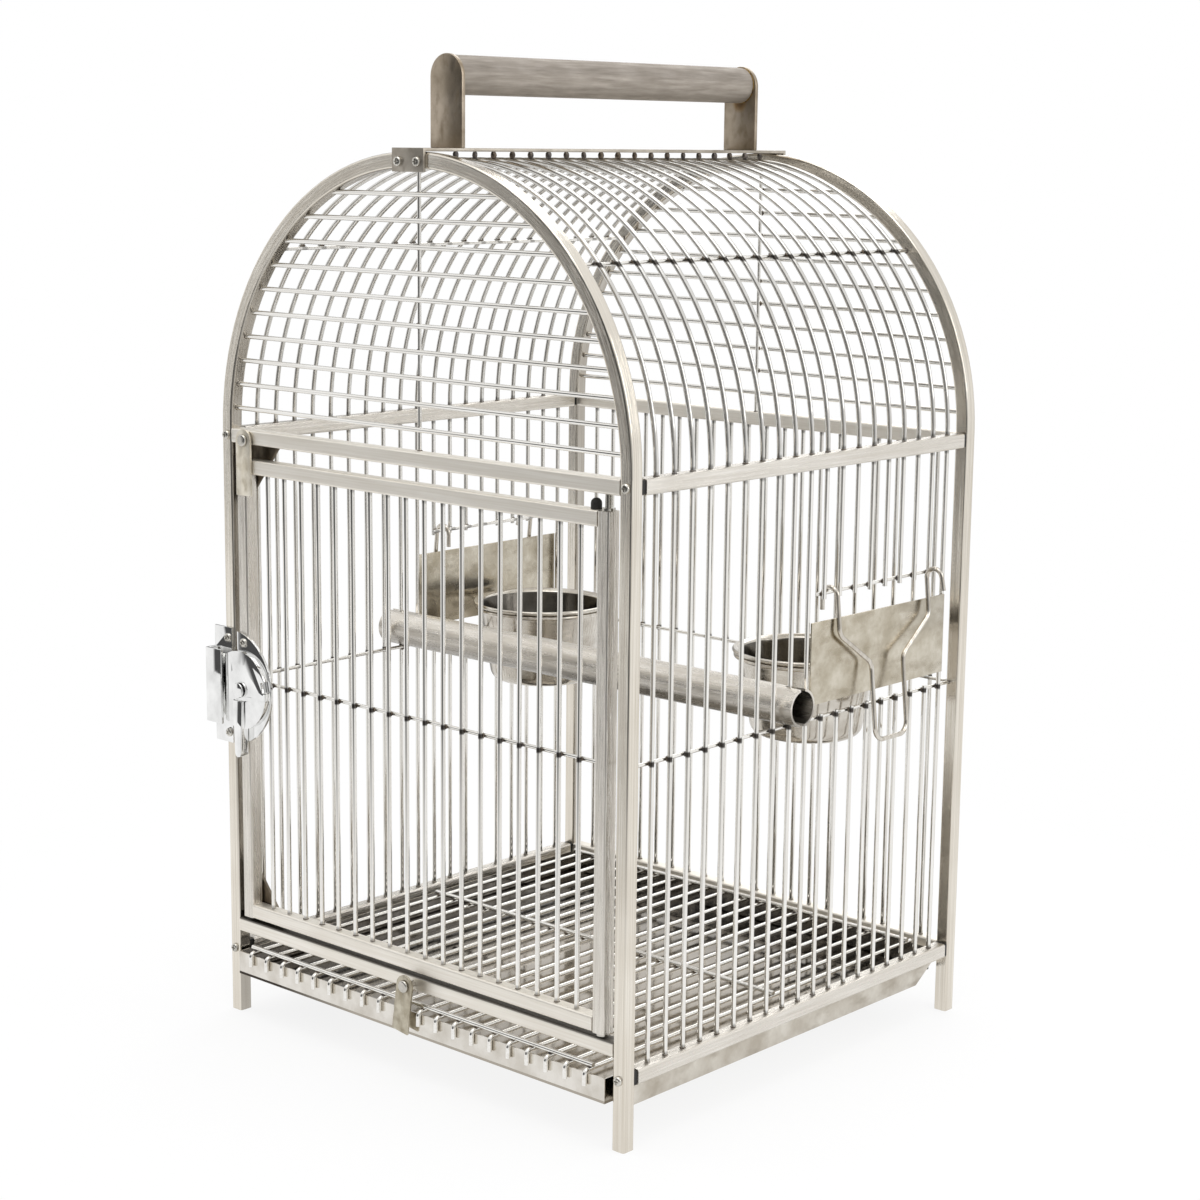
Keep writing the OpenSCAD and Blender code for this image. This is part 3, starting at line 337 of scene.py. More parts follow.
# lighter copies of the tube colours for tubes lying across: painted light for the brighter reflections along
# them
LIT_ACROSS = ("#FCF8F0", "#EEE8DD")
FINE_BELT = dict(polish=(0.42, 0.52), hairline=0.05)  # a fine belt leaves shallow marks and a duller skin
sill_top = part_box("front_sill")[1][2] / MM
perch_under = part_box("perch")[0][2] / MM
tube_across = brushed_stainless("satin_stainless_tube_across", "X", *LIT_ACROSS, **FINE_BELT)
# the sill's mark is painted shade along its top, in the gap under the door
sill_tube = brushed_stainless("satin_stainless_tube_sill", "X", *LIT_ACROSS, **FINE_BELT,
                              tint=("Z", ((sill_top, LONE, 1.2, 0.85),)))
tube_deep = brushed_stainless("satin_stainless_tube_deep", "Y", *TUBE)
wall_wire = brushed_stainless("drawn_stainless_wire_wall", "Z", *WIRE, **BRIGHT, tint=("Z", (
    (LOW_RAIL_TOP, LONE, 3, 0.5), (MID_WIRE, LONE, 2.2, 0.95), (RAIL_UNDER, LONE, 3, 0.5))))
door_wire = brushed_stainless("drawn_stainless_wire_door", "Z", *WIRE, **BRIGHT, tint=("Z", (
    (DOOR_LOW, LONE, 3, 0.5), (MID_WIRE, LONE, 2.2, 0.95), (DOOR_HIGH, LONE, 3, 0.4))))
# the dome's last mark darkens its bars over the upper dome: painted shade
dome_wire = brushed_stainless("drawn_stainless_wire_dome", "Z", *WIRE, **BRIGHT, streak=(3, 12), tint=("Z", (
    (SPRING, LONE, 3, 0.5), (DOME_WIRE_Z, LONE, 2.0, 0.95), (SPRING + POST_X, LONE, 260, 0.2))))
cross_wire = brushed_stainless("drawn_stainless_wire_across", "X", *WIRE, **BRIGHT,
                               tint=("X", ((INNER_X, REAR_PITCH, 3, 0.5),)))
door_cross = brushed_stainless("drawn_stainless_wire_door_cross", "X", *WIRE, **BRIGHT,
                               tint=("X", ((DOOR_LEFT, DOOR_PITCH, 3, 0.5),)))
dome_end_wire = brushed_stainless("drawn_stainless_wire_dome_end", "X", *WIRE, **BRIGHT)
side_wire = brushed_stainless("drawn_stainless_wire_deep", "Y", *WIRE, **BRIGHT,
                              tint=("Y", ((INNER_Y, SIDE_PITCH, 3, 0.5),)))
grate_wire = brushed_stainless("drawn_stainless_wire_grate", "Y", *WIRE, **BRIGHT)
feeder_wire = brushed_stainless("bent_stainless_wire_feeder", "Z", "#E2DED6", "#BDB5A9",
                                polish=(0.06, 0.14), streak=(3, 14), hairline=0.0)
# the grip's mark darkens its upper half: painted shade on its top
grip_steel = brushed_stainless("ground_stainless_grip_tube", "Y", "#C8C0B7", "#AEA69C", polish=(0.66, 0.78),
                               streak=(2.4, 26), blotch=16, hairline=0.14,
                               tint=("Z", ((GRIP_Z + GRIP_R, LONE, 14, 0.25),)))
# the perch's mark darkens its underside: painted shade
perch_steel = brushed_stainless("ground_stainless_perch_tube", "X", "#F0ECE5", "#D2CBC0", polish=(0.22, 0.34),
                                streak=(2.4, 26), blotch=18, hairline=0.1,
                                tint=("Z", ((perch_under, LONE, 14, 0.5),)))
handle_sheet = mill_sheet("mill_finish_sheet_handle", "#B9AC9B", "#9A8D7B", "#85765F")
rear_handle_sheet = mill_sheet("mill_finish_sheet_handle_welded", "#B3A695", "#968977", "#80715B",
                               burn=(0, GRIP_Z - GRIP_R, 4))
strap_sheet = mill_sheet("mill_finish_sheet_strap", "#C4BDB2", "#A49C90", "#8B8275", polish=(0.4, 0.6))
feeder_sheet = mill_sheet("mill_finish_sheet_feeder", "#D3CCBD", "#B3AA97", "#998E79", size=18,
                          polish=(0.16, 0.3))
guide_sheet = mill_sheet("mill_finish_sheet_guide", "#D8D3C9", "#B6AEA1", "#9C9384")
door_button_sheet = mill_sheet("mill_finish_sheet_door_button", "#F2ECDE", "#D9D0BD", "#B8AE99", size=9,
                               polish=(0.4, 0.55))
tray_button_sheet = mill_sheet("mill_finish_sheet_tray_button", "#CBC4B3", "#A79E8A", "#887D68", size=9)
# the door stop's dark colours are painted shade, for it sits in the gap under the front top rail
shaded_stop_sheet = mill_sheet("mill_finish_sheet_stop_painted_shade", "#8B8172", "#6A6053", "#4C4238", size=12)
# the tray's dark colour along its left and rear walls is a painted reflection of their shaded inner faces
tray_steel = polished("mirror_polished_tray_sheet", "#E2DED7", "#C9C3B9", rough=(0.05, 0.12),
                      wave_size=60, wave_depth=0.5,
                      floor_and_reflection=(TRAY_FLOOR_TOP, "#ABA499", (-50, -125), (60, 140), "#3A342D"))
# the bowls' inside colours are darker: painted shade inside them
BOWL_OUT, BOWL_INSIDE_SHADE = ("#D8D3CA", "#B5AEA3"), ("#6B6761", "#4A4640")
bowl_right = spun_bowl_steel("spun_polished_bowl_right", BOWL_X, FEEDER_Y, *BOWL_OUT)
bowl_left = spun_bowl_steel("spun_polished_bowl_left", -BOWL_X, FEEDER_Y, *BOWL_OUT)
shaded_well_right = spun_bowl_steel("shaded_bowl_inside_right", BOWL_X, FEEDER_Y, *BOWL_INSIDE_SHADE)
shaded_well_left = spun_bowl_steel("shaded_bowl_inside_left", -BOWL_X, FEEDER_Y, *BOWL_INSIDE_SHADE)
chrome = polished("bright_chrome_plate", "#F2F2F1", "#DCDCDB", rough=(0.03, 0.09), wave_size=24,
                  wave_depth=0.05)
zinc = polished("bright_zinc_plate", "#D5D2CB", "#A8A49B", rough=(0.16, 0.32), wave_size=6, wave_depth=0.03)
spot_weld = burnt_weld("burnt_spot_weld_steel", "#7A6E61", "#4C433A", "#5F6066")
run_weld = burnt_weld("straw_tinted_weld_run", "#8C7448", "#5A4832", "#6A6A72")
plug_black = moulded_black("black_moulded_polythene", "#23211F", "#141312", rough=(0.42, 0.6), grain=0.8)
rubber_black = moulded_black("black_moulded_rubber", "#2A2826", "#171615", rough=(0.55, 0.75), grain=1.2)

FINISHES = {
    tube_bent: ("front_hoop", "rear_hoop"),
    tube_up: ("door_left_stile", "door_right_stile"),
    sill_tube: ("front_sill",),
    tube_across: ("front_top_rail", "rear_mid_rail", "rear_bottom_rail", "door_top_rail",
                  "door_bottom_rail"),
    tube_deep: ("left_mid_rail", "right_mid_rail", "left_bottom_rail", "right_bottom_rail"),
    wall_wire: ("left_wall_bars", "right_wall_bars", "rear_wall_bars"),
    door_wire: ("door_bars",),
    dome_wire: ("dome_arch_bars",),
    cross_wire: ("rear_cross_wire",),
    door_cross: ("door_cross_wire",),
    dome_end_wire: ("front_dome_wires", "rear_dome_wires"),
    side_wire: ("left_cross_wires", "right_cross_wires", "dome_side_wires"),
    grate_wire: ("grate",),
    feeder_wire: ("right_hanger_wire", "left_hanger_wire", "right_bowl_ring", "left_bowl_ring"),
    grip_steel: ("handle_grip",),
    perch_steel: ("perch",),
    handle_sheet: ("front_handle_bracket",),
    rear_handle_sheet: ("rear_handle_bracket",),
    strap_sheet: ("handle_strap",),
    feeder_sheet: ("right_feeder_plate", "left_feeder_plate"),
    guide_sheet: ("left_tray_guide", "right_tray_guide"),
    door_button_sheet: ("door_button",),
    tray_button_sheet: ("tray_button",),
    shaded_stop_sheet: ("door_stop",),
    tray_steel: ("tray",),
    bowl_right: ("right_bowl",),
    bowl_left: ("left_bowl",),
    chrome: ("latch_strike", "latch_case", "latch_cam", "latch_pivot"),
    zinc: ("frame_screws", "strap_screws", "strike_screws", "case_screw", "button_pins", "hinge_pins"),
    plug_black: ("rail_end_plugs",),
    rubber_black: ("door_buffer",),
}
for finish, names in FINISHES.items():
    for name in names:
        cad[name].data.materials.clear()
        cad[name].data.materials.append(finish)


# ---------------------------------------------------------------- modelling helpers

def clear_selection():
    bpy.ops.object.select_all(action="DESELECT")


def choose(piece):
    """Makes a piece the only one selected and the active one."""
    clear_selection()
    piece.select_set(True)
    bpy.context.view_layer.objects.active = piece


def pick(piece, test):
    """Opens a piece for editing with the faces selected whose centre and normal pass a test."""
    if bpy.context.mode != "OBJECT":
        bpy.ops.object.mode_set(mode="OBJECT")
    bpy.context.tool_settings.mesh_select_mode = (False, False, True)
    mesh = piece.data
    for parts in (mesh.vertices, mesh.edges, mesh.polygons):
        parts.foreach_set("select", [False] * len(parts))
    for face in mesh.polygons:
        face.select = test(face.center / MM, face.normal)
    bpy.ops.object.mode_set(mode="EDIT")


def finish_mesh(piece, angle=35):
    """Closes editing and smooths across all edges flatter than an angle."""
    if bpy.context.mode != "OBJECT":
        bpy.ops.object.mode_set(mode="OBJECT")
    choose(piece)
    bpy.ops.object.shade_smooth_by_angle(angle=math.radians(angle))


def fix(piece, kind, **settings):
    """Adds a modifier and applies it."""
    choose(piece)
    made = piece.modifiers.new("shape", kind)
    for name, value in settings.items():
        setattr(made, name, value)
    bpy.ops.object.modifier_apply(modifier=made.name)


def place_copies(model, name, places):
    """Copies a model to each place, every copy with its own mesh, and joins them as one piece."""
    clear_selection()
    for place in places:
        twin = model.copy()
        twin.data = model.data.copy()
        twin.data.transform(place)
        scene.collection.objects.link(twin)
        twin.select_set(True)
        bpy.context.view_layer.objects.active = twin
    bpy.data.objects.remove(model)
    if len(places) > 1:
        bpy.ops.object.join()
    piece = bpy.context.view_layer.objects.active
    piece.name = name
    return piece


def hand_over(piece, body, slot, finish, *replaced):
    """Gives a finished piece its material and its body, and hides the nodes that it stands for. The slot is
    not used.
    """
    piece.data.materials.clear()
    piece.data.materials.append(finish)
    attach(piece, body)
    if replaced:
        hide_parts(*replaced)


def at(x, y, z, turn=0.0, axis="Z"):
    """A place in millimetres with a turn in degrees."""
    return Matrix.Translation(Vector((x, y, z)) * MM) @ Matrix.Rotation(math.radians(turn), 4, axis)


def arc(x, z, radius, first, last, steps):
    """Points along an arc, from one angle to another in degrees."""
    angles = [math.radians(first + (last - first) * i / steps) for i in range(steps + 1)]
    return [(x + radius * math.cos(a), z + radius * math.sin(a)) for a in angles]


# ---------------------------------------------------------------- screws and rivets

HEAD_SIDES, HEAD_STEPS = 28, 5
DOME_SHARE = 0.72  # of a head's height that is rounded
RECESS_LONG, RECESS_WIDE, RECESS_DEEP = 1.15, 0.24, 1.1  # shares of a head's radius and height


def pan_head(radius, rise):
    """A low domed head that faces the front."""
    clear_selection()
    bpy.ops.mesh.primitive_cylinder_add(vertices=HEAD_SIDES, radius=radius * MM, depth=rise * MM,
                                        location=(0, -rise * MM / 2, 0), rotation=(math.pi / 2, 0, 0))
    head = bpy.context.object
    bpy.ops.object.transform_apply(location=True, rotation=True, scale=True)
    pick(head, lambda centre, normal: normal.y < -0.9)
    bpy.ops.mesh.bevel(offset=rise * DOME_SHARE * MM, segments=HEAD_STEPS, profile=0.5, affect="EDGES")
    bpy.ops.object.mode_set(mode="OBJECT")
    return head


def cross_head_screw(radius=3, rise=2):
    """A domed screw head with a cross recess."""
    head = pan_head(radius, rise)
    long, wide = radius * RECESS_LONG, radius * RECESS_WIDE
    for width, height in ((long, wide), (wide, long)):
        clear_selection()
        bpy.ops.mesh.primitive_cube_add(size=MM, location=(0, -rise * MM, 0),
                                        scale=(width, rise * RECESS_DEEP, height))
        cutter = bpy.context.object
        bpy.ops.object.transform_apply(location=True, rotation=True, scale=True)
        fix(head, "BOOLEAN", operation="DIFFERENCE", object=cutter, solver="EXACT")
        bpy.data.objects.remove(cutter)
    finish_mesh(head, 40)
    return head


def turn_rivet(radius, rise, shank_radius, shank):
    """A domed rivet head with its shank, on which a turn button swings."""
    rivet = pan_head(radius, rise)
    pick(rivet, lambda centre, normal: normal.y > 0.9)
    bpy.ops.mesh.inset(thickness=(radius - shank_radius) * MM)
    bpy.ops.mesh.extrude_region_move(TRANSFORM_OT_translate={"value": (0, shank * MM, 0)})
    finish_mesh(rivet, 40)
    return rivet


frame_heads = place_copies(
    cross_head_screw(), "frame_screw_heads",
    [at(side * POST_X, end * HALF_DEPTH, height, 90 + 90 * end)
     for side in (-1, 1) for end in (-1, 1) for height in (MID_RAIL_Z, LOW_RAIL_Z)])
hand_over(frame_heads, "cage", "chrome_hardware", zinc, "frame_screws")
strap_heads = place_copies(
    cross_head_screw(), "strap_screw_heads",
    [at(side * STRAP_SCREW_X, end * STRAP_TAB_Y, STRAP_SCREW_Z, 90 + 90 * end)
     for side in (-1, 1) for end in (-1, 1)])
hand_over(strap_heads, "cage", "chrome_hardware", zinc, "strap_screws")
strike_heads = place_copies(
    cross_head_screw(), "strike_screw_heads",
    [at(-POST_X, STRIKE_FRONT, LATCH_Z + end * STRIKE_SCREW_REACH, 45, "Y") for end in (-1, 1)])
hand_over(strike_heads, "cage", "chrome_hardware", zinc, "strike_screws")
case_head = place_copies(cross_head_screw(), "case_screw_head",
                         [at(LATCH_X, CASE_FRONT, LATCH_Z + CASE_SCREW_RISE, 20, "Y")])
hand_over(case_head, "front_door", "chrome_hardware", zinc, "case_screw")
for name, x, z, button in (("door_button_rivet", DOOR_BUTTON_X, DOOR_BUTTON_Z, "door_button"),
                           ("tray_button_rivet", TRAY_BUTTON_X, TRAY_BUTTON_Z, "tray_button")):
    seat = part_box(button)[0][1] / MM - TURN_GAP
    rivet = place_copies(turn_rivet(radius=4, rise=1.6, shank_radius=2, shank=-HALF_DEPTH - seat), name,
                         [at(x, seat, z)])
    hand_over(rivet, "cage", "chrome_hardware", zinc, "button_pins")


# ---------------------------------------------------------------- sheet pieces with deburred edges

# Faces that meet flatter than the first angle are joined, and edges sharper than the second are rounded.
FLAT_ANGLE, EDGE_ANGLE = math.radians(0.4), math.radians(50)


def deburred(node, name, width):
    """A copy of a sheet of the frame with its edges rounded, as a deburring wheel leaves them."""
    piece = bpy.data.objects.new(name, cad[node].data.copy())
    scene.collection.objects.link(piece)
    choose(piece)
    bpy.ops.mesh.customdata_custom_splitnormals_clear()
    pick(piece, lambda centre, normal: True)
    bpy.ops.mesh.remove_doubles(threshold=MERGE * MM)
    bpy.ops.mesh.dissolve_limited(angle_limit=FLAT_ANGLE)
    bpy.ops.object.mode_set(mode="OBJECT")
    fix(piece, "BEVEL", width=width * MM, segments=2, limit_method="ANGLE", angle_limit=EDGE_ANGLE)
    finish_mesh(piece, 40)
    return piece


# Node, new piece, width of its rounded edges in millimetres, body, slot and finish.
SHEETS = (
    ("front_handle_bracket", "front_handle_plate", 0.5, "cage", "stainless", handle_sheet),
    ("rear_handle_bracket", "rear_handle_plate", 0.5, "cage", "stainless", rear_handle_sheet),
    ("handle_strap", "handle_strap_sheet", 0.3, "cage", "stainless", strap_sheet),
    ("right_feeder_plate", "right_feeder_sheet", 0.25, "right_feeder", "stainless", feeder_sheet),
    ("left_feeder_plate", "left_feeder_sheet", 0.25, "left_feeder", "stainless", feeder_sheet),
    ("left_tray_guide", "left_guide_sheet", 0.2, "cage", "stainless", guide_sheet),
    ("right_tray_guide", "right_guide_sheet", 0.2, "cage", "stainless", guide_sheet),
    ("door_button", "door_button_sheet", 0.3, "door_button", "stainless", door_button_sheet),
    ("tray_button", "tray_button_sheet", 0.3, "tray_button", "stainless", tray_button_sheet),
    ("door_stop", "door_stop_plates", 0.3, "cage", "stainless", shaded_stop_sheet),
    ("latch_strike", "latch_strike_casting", 0.4, "cage", "chrome_hardware", chrome),
    ("latch_case", "latch_case_plate", 0.5, "front_door", "chrome_hardware", chrome),
    ("latch_cam", "latch_disc", 0.6, "latch_cam", "chrome_hardware", chrome),
    ("latch_pivot", "latch_pivot_head", 0.6, "front_door", "chrome_hardware", chrome),
)
for node, name, width, body, slot, finish in SHEETS:
    hand_over(deburred(node, name, width), body, slot, finish, node)


# ---------------------------------------------------------------- spun bowls

def spun(outline, steps=72):
    """Draws an outline from the axis back to the axis and spins it round into a closed shape."""
    clear_selection()
    bpy.ops.mesh.primitive_plane_add(size=MM)
    piece = bpy.context.object
    bpy.ops.object.mode_set(mode="EDIT")
    bpy.ops.mesh.select_mode(type="VERT")
    bpy.ops.mesh.select_all(action="SELECT")
    bpy.ops.mesh.merge(type="CENTER")
    points = [Vector((radius, 0, height)) * MM for radius, height in outline]
    bpy.ops.transform.translate(value=points[0])
    for before, point in zip(points, points[1:]):
        bpy.ops.mesh.extrude_region_move(TRANSFORM_OT_translate={"value": point - before})
    bpy.ops.mesh.select_all(action="SELECT")
    bpy.ops.mesh.spin(steps=steps, angle=2 * math.pi, center=(0, 0, 0), axis=(0, 0, 1))
    bpy.ops.mesh.select_all(action="SELECT")
    bpy.ops.mesh.remove_doubles(threshold=MERGE * MM)
    bpy.ops.mesh.normals_make_consistent(inside=False)
    finish_mesh(piece, 45)
    return piece


CORNER = 8  # radius between a bowl's floor and its wall
NECK_IN, NECK_LOW = 0.25, 2.4  # where the wall ends, inwards of the body's radius and below the lip
NECK_OUT, NECK_DROP, NECK_R = 1.2, 2, 1.3  # the bend from the wall out to the rolled rim
WELL_DROP = 1  # the painted shade inside starts this far below the lip
lip_z = BOWL_RIM_Z - BOWL_ROLL
wall_lean = math.degrees(math.atan2(BOWL_BODY_R - BOWL_FLOOR_R, lip_z - BOWL_SHEET - BOWL_FLOOR_Z))
lean = math.radians(wall_lean)
corner_x = (BOWL_FLOOR_R + (CORNER - CORNER * math.sin(lean)) * math.tan(lean)) - CORNER * math.cos(lean)
corner_z = BOWL_FLOOR_Z + CORNER
outside = [(0, BOWL_FLOOR_Z)] + arc(corner_x, corner_z, CORNER, -90, -wall_lean, 8)
outside += [(BOWL_BODY_R - NECK_IN, lip_z - NECK_LOW)]
outside += arc(BOWL_BODY_R + NECK_OUT, lip_z - NECK_DROP, NECK_R, 180, 90, 3)
roll = arc(BOWL_RIM_R - BOWL_ROLL, lip_z, BOWL_ROLL, -140, 120, 10)
inside = arc(BOWL_BODY_R + NECK_OUT, lip_z - NECK_DROP, NECK_R + BOWL_SHEET, 100, 180, 3)
inside += [(BOWL_BODY_R - NECK_IN - BOWL_SHEET, lip_z - NECK_LOW)]
inside += arc(corner_x, corner_z, CORNER - BOWL_SHEET, -wall_lean, -90, 8)
inside += [(0, BOWL_FLOOR_Z + BOWL_SHEET)]
for side, word, finish, well in ((1, "right", bowl_right, shaded_well_right), (-1, "left", bowl_left, shaded_well_left)):
    bowl = place_copies(spun(outside + roll + inside), word + "_spun_bowl",
                        [at(side * BOWL_X, FEEDER_Y, 0)])
    hand_over(bowl, word + "_bowl", "polished_bowl", finish, word + "_bowl")
    bowl.data.materials.append(well)
    axis = Vector((side * BOWL_X, FEEDER_Y, lip_z))
    pick(bowl, lambda centre, normal: centre.z < lip_z - WELL_DROP and normal.dot(axis - centre) > 0)
    bowl.active_material_index = 1
    bpy.ops.object.material_slot_assign()
    bpy.ops.object.mode_set(mode="OBJECT")


# ---------------------------------------------------------------- weld beads

dice = random.Random(11)
BEAD_LUMP = 0.14  # millimetres
BEAD_LEAST, BEAD_MOST = 0.85, 1.15  # shares of a bead's usual width


def weld_bead():
    """One squeezed-out weld, a lumpy flattened drop of 1 mm half size."""
    clear_selection()
    bpy.ops.mesh.primitive_ico_sphere_add(subdivisions=2, radius=MM)
    bead = bpy.context.object
    pick(bead, lambda centre, normal: True)
    bpy.ops.transform.vertex_random(offset=BEAD_LUMP * MM, seed=4)
    finish_mesh(bead, 80)
    return bead


def bead_at(x, y, z, flat, lean=0.0, wide=1.8, thin=1.1):
    """A bead's place, thin along the axis named flat and turned at random about it."""
    wide *= dice.uniform(BEAD_LEAST, BEAD_MOST)
    size = [thin if axis == flat else wide for axis in "XYZ"]
    turn = Matrix.Rotation(dice.uniform(0, 2 * math.pi), 4, flat)
    return at(x, y, z, lean, "Y") @ turn @ Matrix.Diagonal((*size, 1))


BUTT = 0.8  # half thickness of a bead where a wire ends on a tube
PERCH_DROP = 0.9  # how far the bead on the perch's bar lies lower, clear of the perch
STRAP_RISE = 0.7  # how far a bead under the strap reaches into its sheet
crown = SPRING + math.sqrt(POST_X ** 2 - STRAP_HALF ** 2)
cage_beads, door_beads, grate_beads = [], [], []
for side in (-1, 1):
    for index in range(1, SIDE_BARS + 1):
        y = index * SIDE_PITCH - INNER_Y
        sunk = PERCH_DROP if index == PERCH_BAR else 0
        cage_beads.append(bead_at(side * (POST_X - WELD), y, MID_WIRE - sunk, "X"))
        if FIRST_CUT <= index <= LAST_CUT:
            cage_beads.append(bead_at(side * (POST_X - WELD), y, UPPER_WIRE, "X"))
        for height in (LOW_RAIL_TOP, RAIL_UNDER, SPRING):
            cage_beads.append(bead_at(side * POST_X, y, height, "Z", thin=BUTT))
        if side > 0:  # a dark bead at each arch under the strap's right edge, painted shade for the gap there
            cage_beads.append(bead_at(STRAP_HALF - 1, y, (crown + STRAP_UNDER) / 2 + STRAP_RISE, "Z",
                                      thin=(STRAP_UNDER - crown) / 2))
        radius = POST_X - WELD
        cage_beads.append(bead_at(side * radius * math.cos(DOME_ANGLE), y,
                                  SPRING + radius * math.sin(DOME_ANGLE), "X",
                                  lean=-side * math.degrees(DOME_ANGLE)))
    for end in (-1, 1):
        cage_beads.append(bead_at(side * (POST_X - CROSS), end * INNER_Y, MID_WIRE, "Y", thin=BUTT))
        cage_beads.append(bead_at(side * (POST_X - CROSS) * math.cos(DOME_ANGLE), end * INNER_Y,
                                  SPRING + (POST_X - CROSS) * math.sin(DOME_ANGLE), "Y", thin=BUTT))
for index in range(1, REAR_BARS + 1):
    x = index * REAR_PITCH - INNER_X
    cage_beads.append(bead_at(x, POST_Y - WELD, MID_WIRE, "Y"))
    for height in (LOW_RAIL_TOP, RAIL_UNDER):
        cage_beads.append(bead_at(x, POST_Y, height, "Z", thin=BUTT))
for end in (-1, 1):
    for index in range(END_WIRES):
        rise = END_FIRST + index * END_PITCH
        reach = math.sqrt(INNER_X ** 2 - rise ** 2)
        cage_beads.append(bead_at(0, end * (POST_Y - WELD), SPRING + rise, "Y"))
        for side in (-1, 1):
            cage_beads.append(bead_at(side * reach, end * POST_Y, SPRING + rise, "X", thin=BUTT,
                                      lean=-side * math.degrees(math.asin(rise / INNER_X))))
    cage_beads.append(bead_at(0, end * (POST_Y - CROSS), SPRING, "Z", thin=BUTT))
for index in range(1, DOOR_BARS + 1):
    x = DOOR_LEFT + index * DOOR_PITCH
    door_beads.append(bead_at(x, DOOR_Y + WELD, MID_WIRE, "Y"))
    for height in (DOOR_LOW, DOOR_HIGH):
        door_beads.append(bead_at(x, DOOR_Y, height, "Z", thin=BUTT))
for x in (DOOR_LEFT, DOOR_RIGHT):
    door_beads.append(bead_at(x, DOOR_Y + CROSS, MID_WIRE, "X", thin=BUTT))
for side in (-1, 1):
    for index in range(GRATE_WIRES):
        for y in GRATE_RODS:
            grate_beads.append(bead_at(side * (GRATE_FIRST + index * GRATE_PITCH), y, GRATE_WELD_Z, "Z"))
for body, beads in (("cage", cage_beads), ("front_door", door_beads), ("grate", grate_beads)):
    hand_over(place_copies(weld_bead(), body + "_weld_beads", beads), body, "stainless", spot_weld)


RIPPLE_SHARE = 0.22  # of the run's thickness that a ripple stands out
RIPPLE_SMOOTHING = 0.4


def rippled_weld(radius, thick, ripples):
    """A weld run round a tube's end, with the ripples that each dab of filler leaves."""
    clear_selection()
    bpy.ops.mesh.primitive_torus_add(major_segments=4 * ripples, minor_segments=10, major_radius=radius * MM,
                                     minor_radius=thick * MM, rotation=(math.pi / 2, 0, 0))
    run = bpy.context.object
    bpy.ops.object.transform_apply(location=True, rotation=True, scale=True)
    pick(run, lambda centre, normal: math.sin(ripples * math.atan2(centre.z, centre.x)) > 0)
    bpy.ops.transform.shrink_fatten(value=RIPPLE_SHARE * thick * MM)
    bpy.ops.mesh.select_all(action="SELECT")
    bpy.ops.mesh.vertices_smooth(factor=RIPPLE_SMOOTHING)
    finish_mesh(run, 80)
    return run


WELD_BITE = 0.3  # how far the run melts into the grip
grip_welds = place_copies(rippled_weld(GRIP_R - WELD_BITE, thick=0.8, ripples=20), "grip_end_welds",
                          [at(0, end * GRIP_HALF, GRIP_Z) for end in (-1, 1)])
hand_over(grip_welds, "cage", "stainless", run_weld)


# ---------------------------------------------------------------- studio and camera

# The camera's bearing right of the cage's front, its look down and its roll, in degrees; its place in metres.
CAMERA_ANGLES = (42.07, 10.63, 0.63)
CAMERA_PLACE = (1.06565, -1.17912, 0.58155)
FOCAL_PIXELS, IMAGE_PIXELS, SENSOR = 2444.31, 1200, 36
azimuth, elevation, roll_angle = (math.radians(angle) for angle in CAMERA_ANGLES)
forward = Vector((-math.sin(azimuth) * math.cos(elevation), math.cos(azimuth) * math.cos(elevation),
                  -math.sin(elevation)))
level = Vector((math.cos(azimuth), math.sin(azimuth), 0))
upright = level.cross(forward)
right = level * math.cos(roll_angle) + upright * math.sin(roll_angle)
up = upright * math.cos(roll_angle) - level * math.sin(roll_angle)
lens = bpy.data.cameras.new("photo_camera")
lens.sensor_width = SENSOR
lens.lens = SENSOR * FOCAL_PIXELS / IMAGE_PIXELS
lens.clip_end = 50
camera = bpy.data.objects.new("photo_camera", lens)
scene.collection.objects.link(camera)
camera.matrix_world = Matrix.Translation(CAMERA_PLACE) @ Matrix(
    (right, up, -forward)).transposed().to_4x4()
scene.camera = camera


def white_left(tree, way, reach, shades):
    """The share of white left in a direction once the shades are drawn, each as strongly as reach says.
    A shade has four bearings in degrees from the camera's, negative to the camera's left, at which it
    starts, is full, begins to fade and ends, and then its depth."""
    across = add(tree, "ShaderNodeVectorMath", {0: way, 1: level},
                 operation="DOT_PRODUCT").outputs["Value"]
    facing = add(tree, "ShaderNodeVectorMath", {0: way, 1: level.cross(Vector((0, 0, 1)))},
                 operation="DOT_PRODUCT").outputs["Value"]
    bearing = add(tree, "ShaderNodeMath", {0: across, 1: facing}, operation="ARCTAN2")
    share = 1.0
    for first, full, fading, last, depth in shades:
        enter = add(tree, "ShaderNodeMapRange", {"Value": bearing, "From Min": math.radians(first),
                                                 "From Max": math.radians(full)})
        leave = add(tree, "ShaderNodeMapRange", {"Value": bearing, "From Min": math.radians(last),
                                                 "From Max": math.radians(fading)})
        dark = add(tree, "ShaderNodeMath", {0: enter, 1: leave}, operation="MULTIPLY")
        dark = add(tree, "ShaderNodeMath", {0: dark, 1: reach}, operation="MULTIPLY")
        kept = add(tree, "ShaderNodeMapRange", {"Value": dark, "To Min": 1.0, "To Max": 1.0 - depth})
        share = add(tree, "ShaderNodeMath", {0: share, 1: kept}, operation="MULTIPLY")
    return share


# Sizes, places and distances from the cage's middle on the floor, in metres.
FLOOR_SIZE, FLOOR_PLACE, FLOOR_TURN = 4, (1.09, -0.82, 0), math.radians(-28.6)
GLOW_NEAR, GLOW_FAR, NEAR_SHARE = 0.3, 0.62, 0.86
SHADE_NEAR, SHADE_FAR = 0.45, 1.15
FLOOR_SHADES = ((-74, -62, -8, 16, 0.85),)

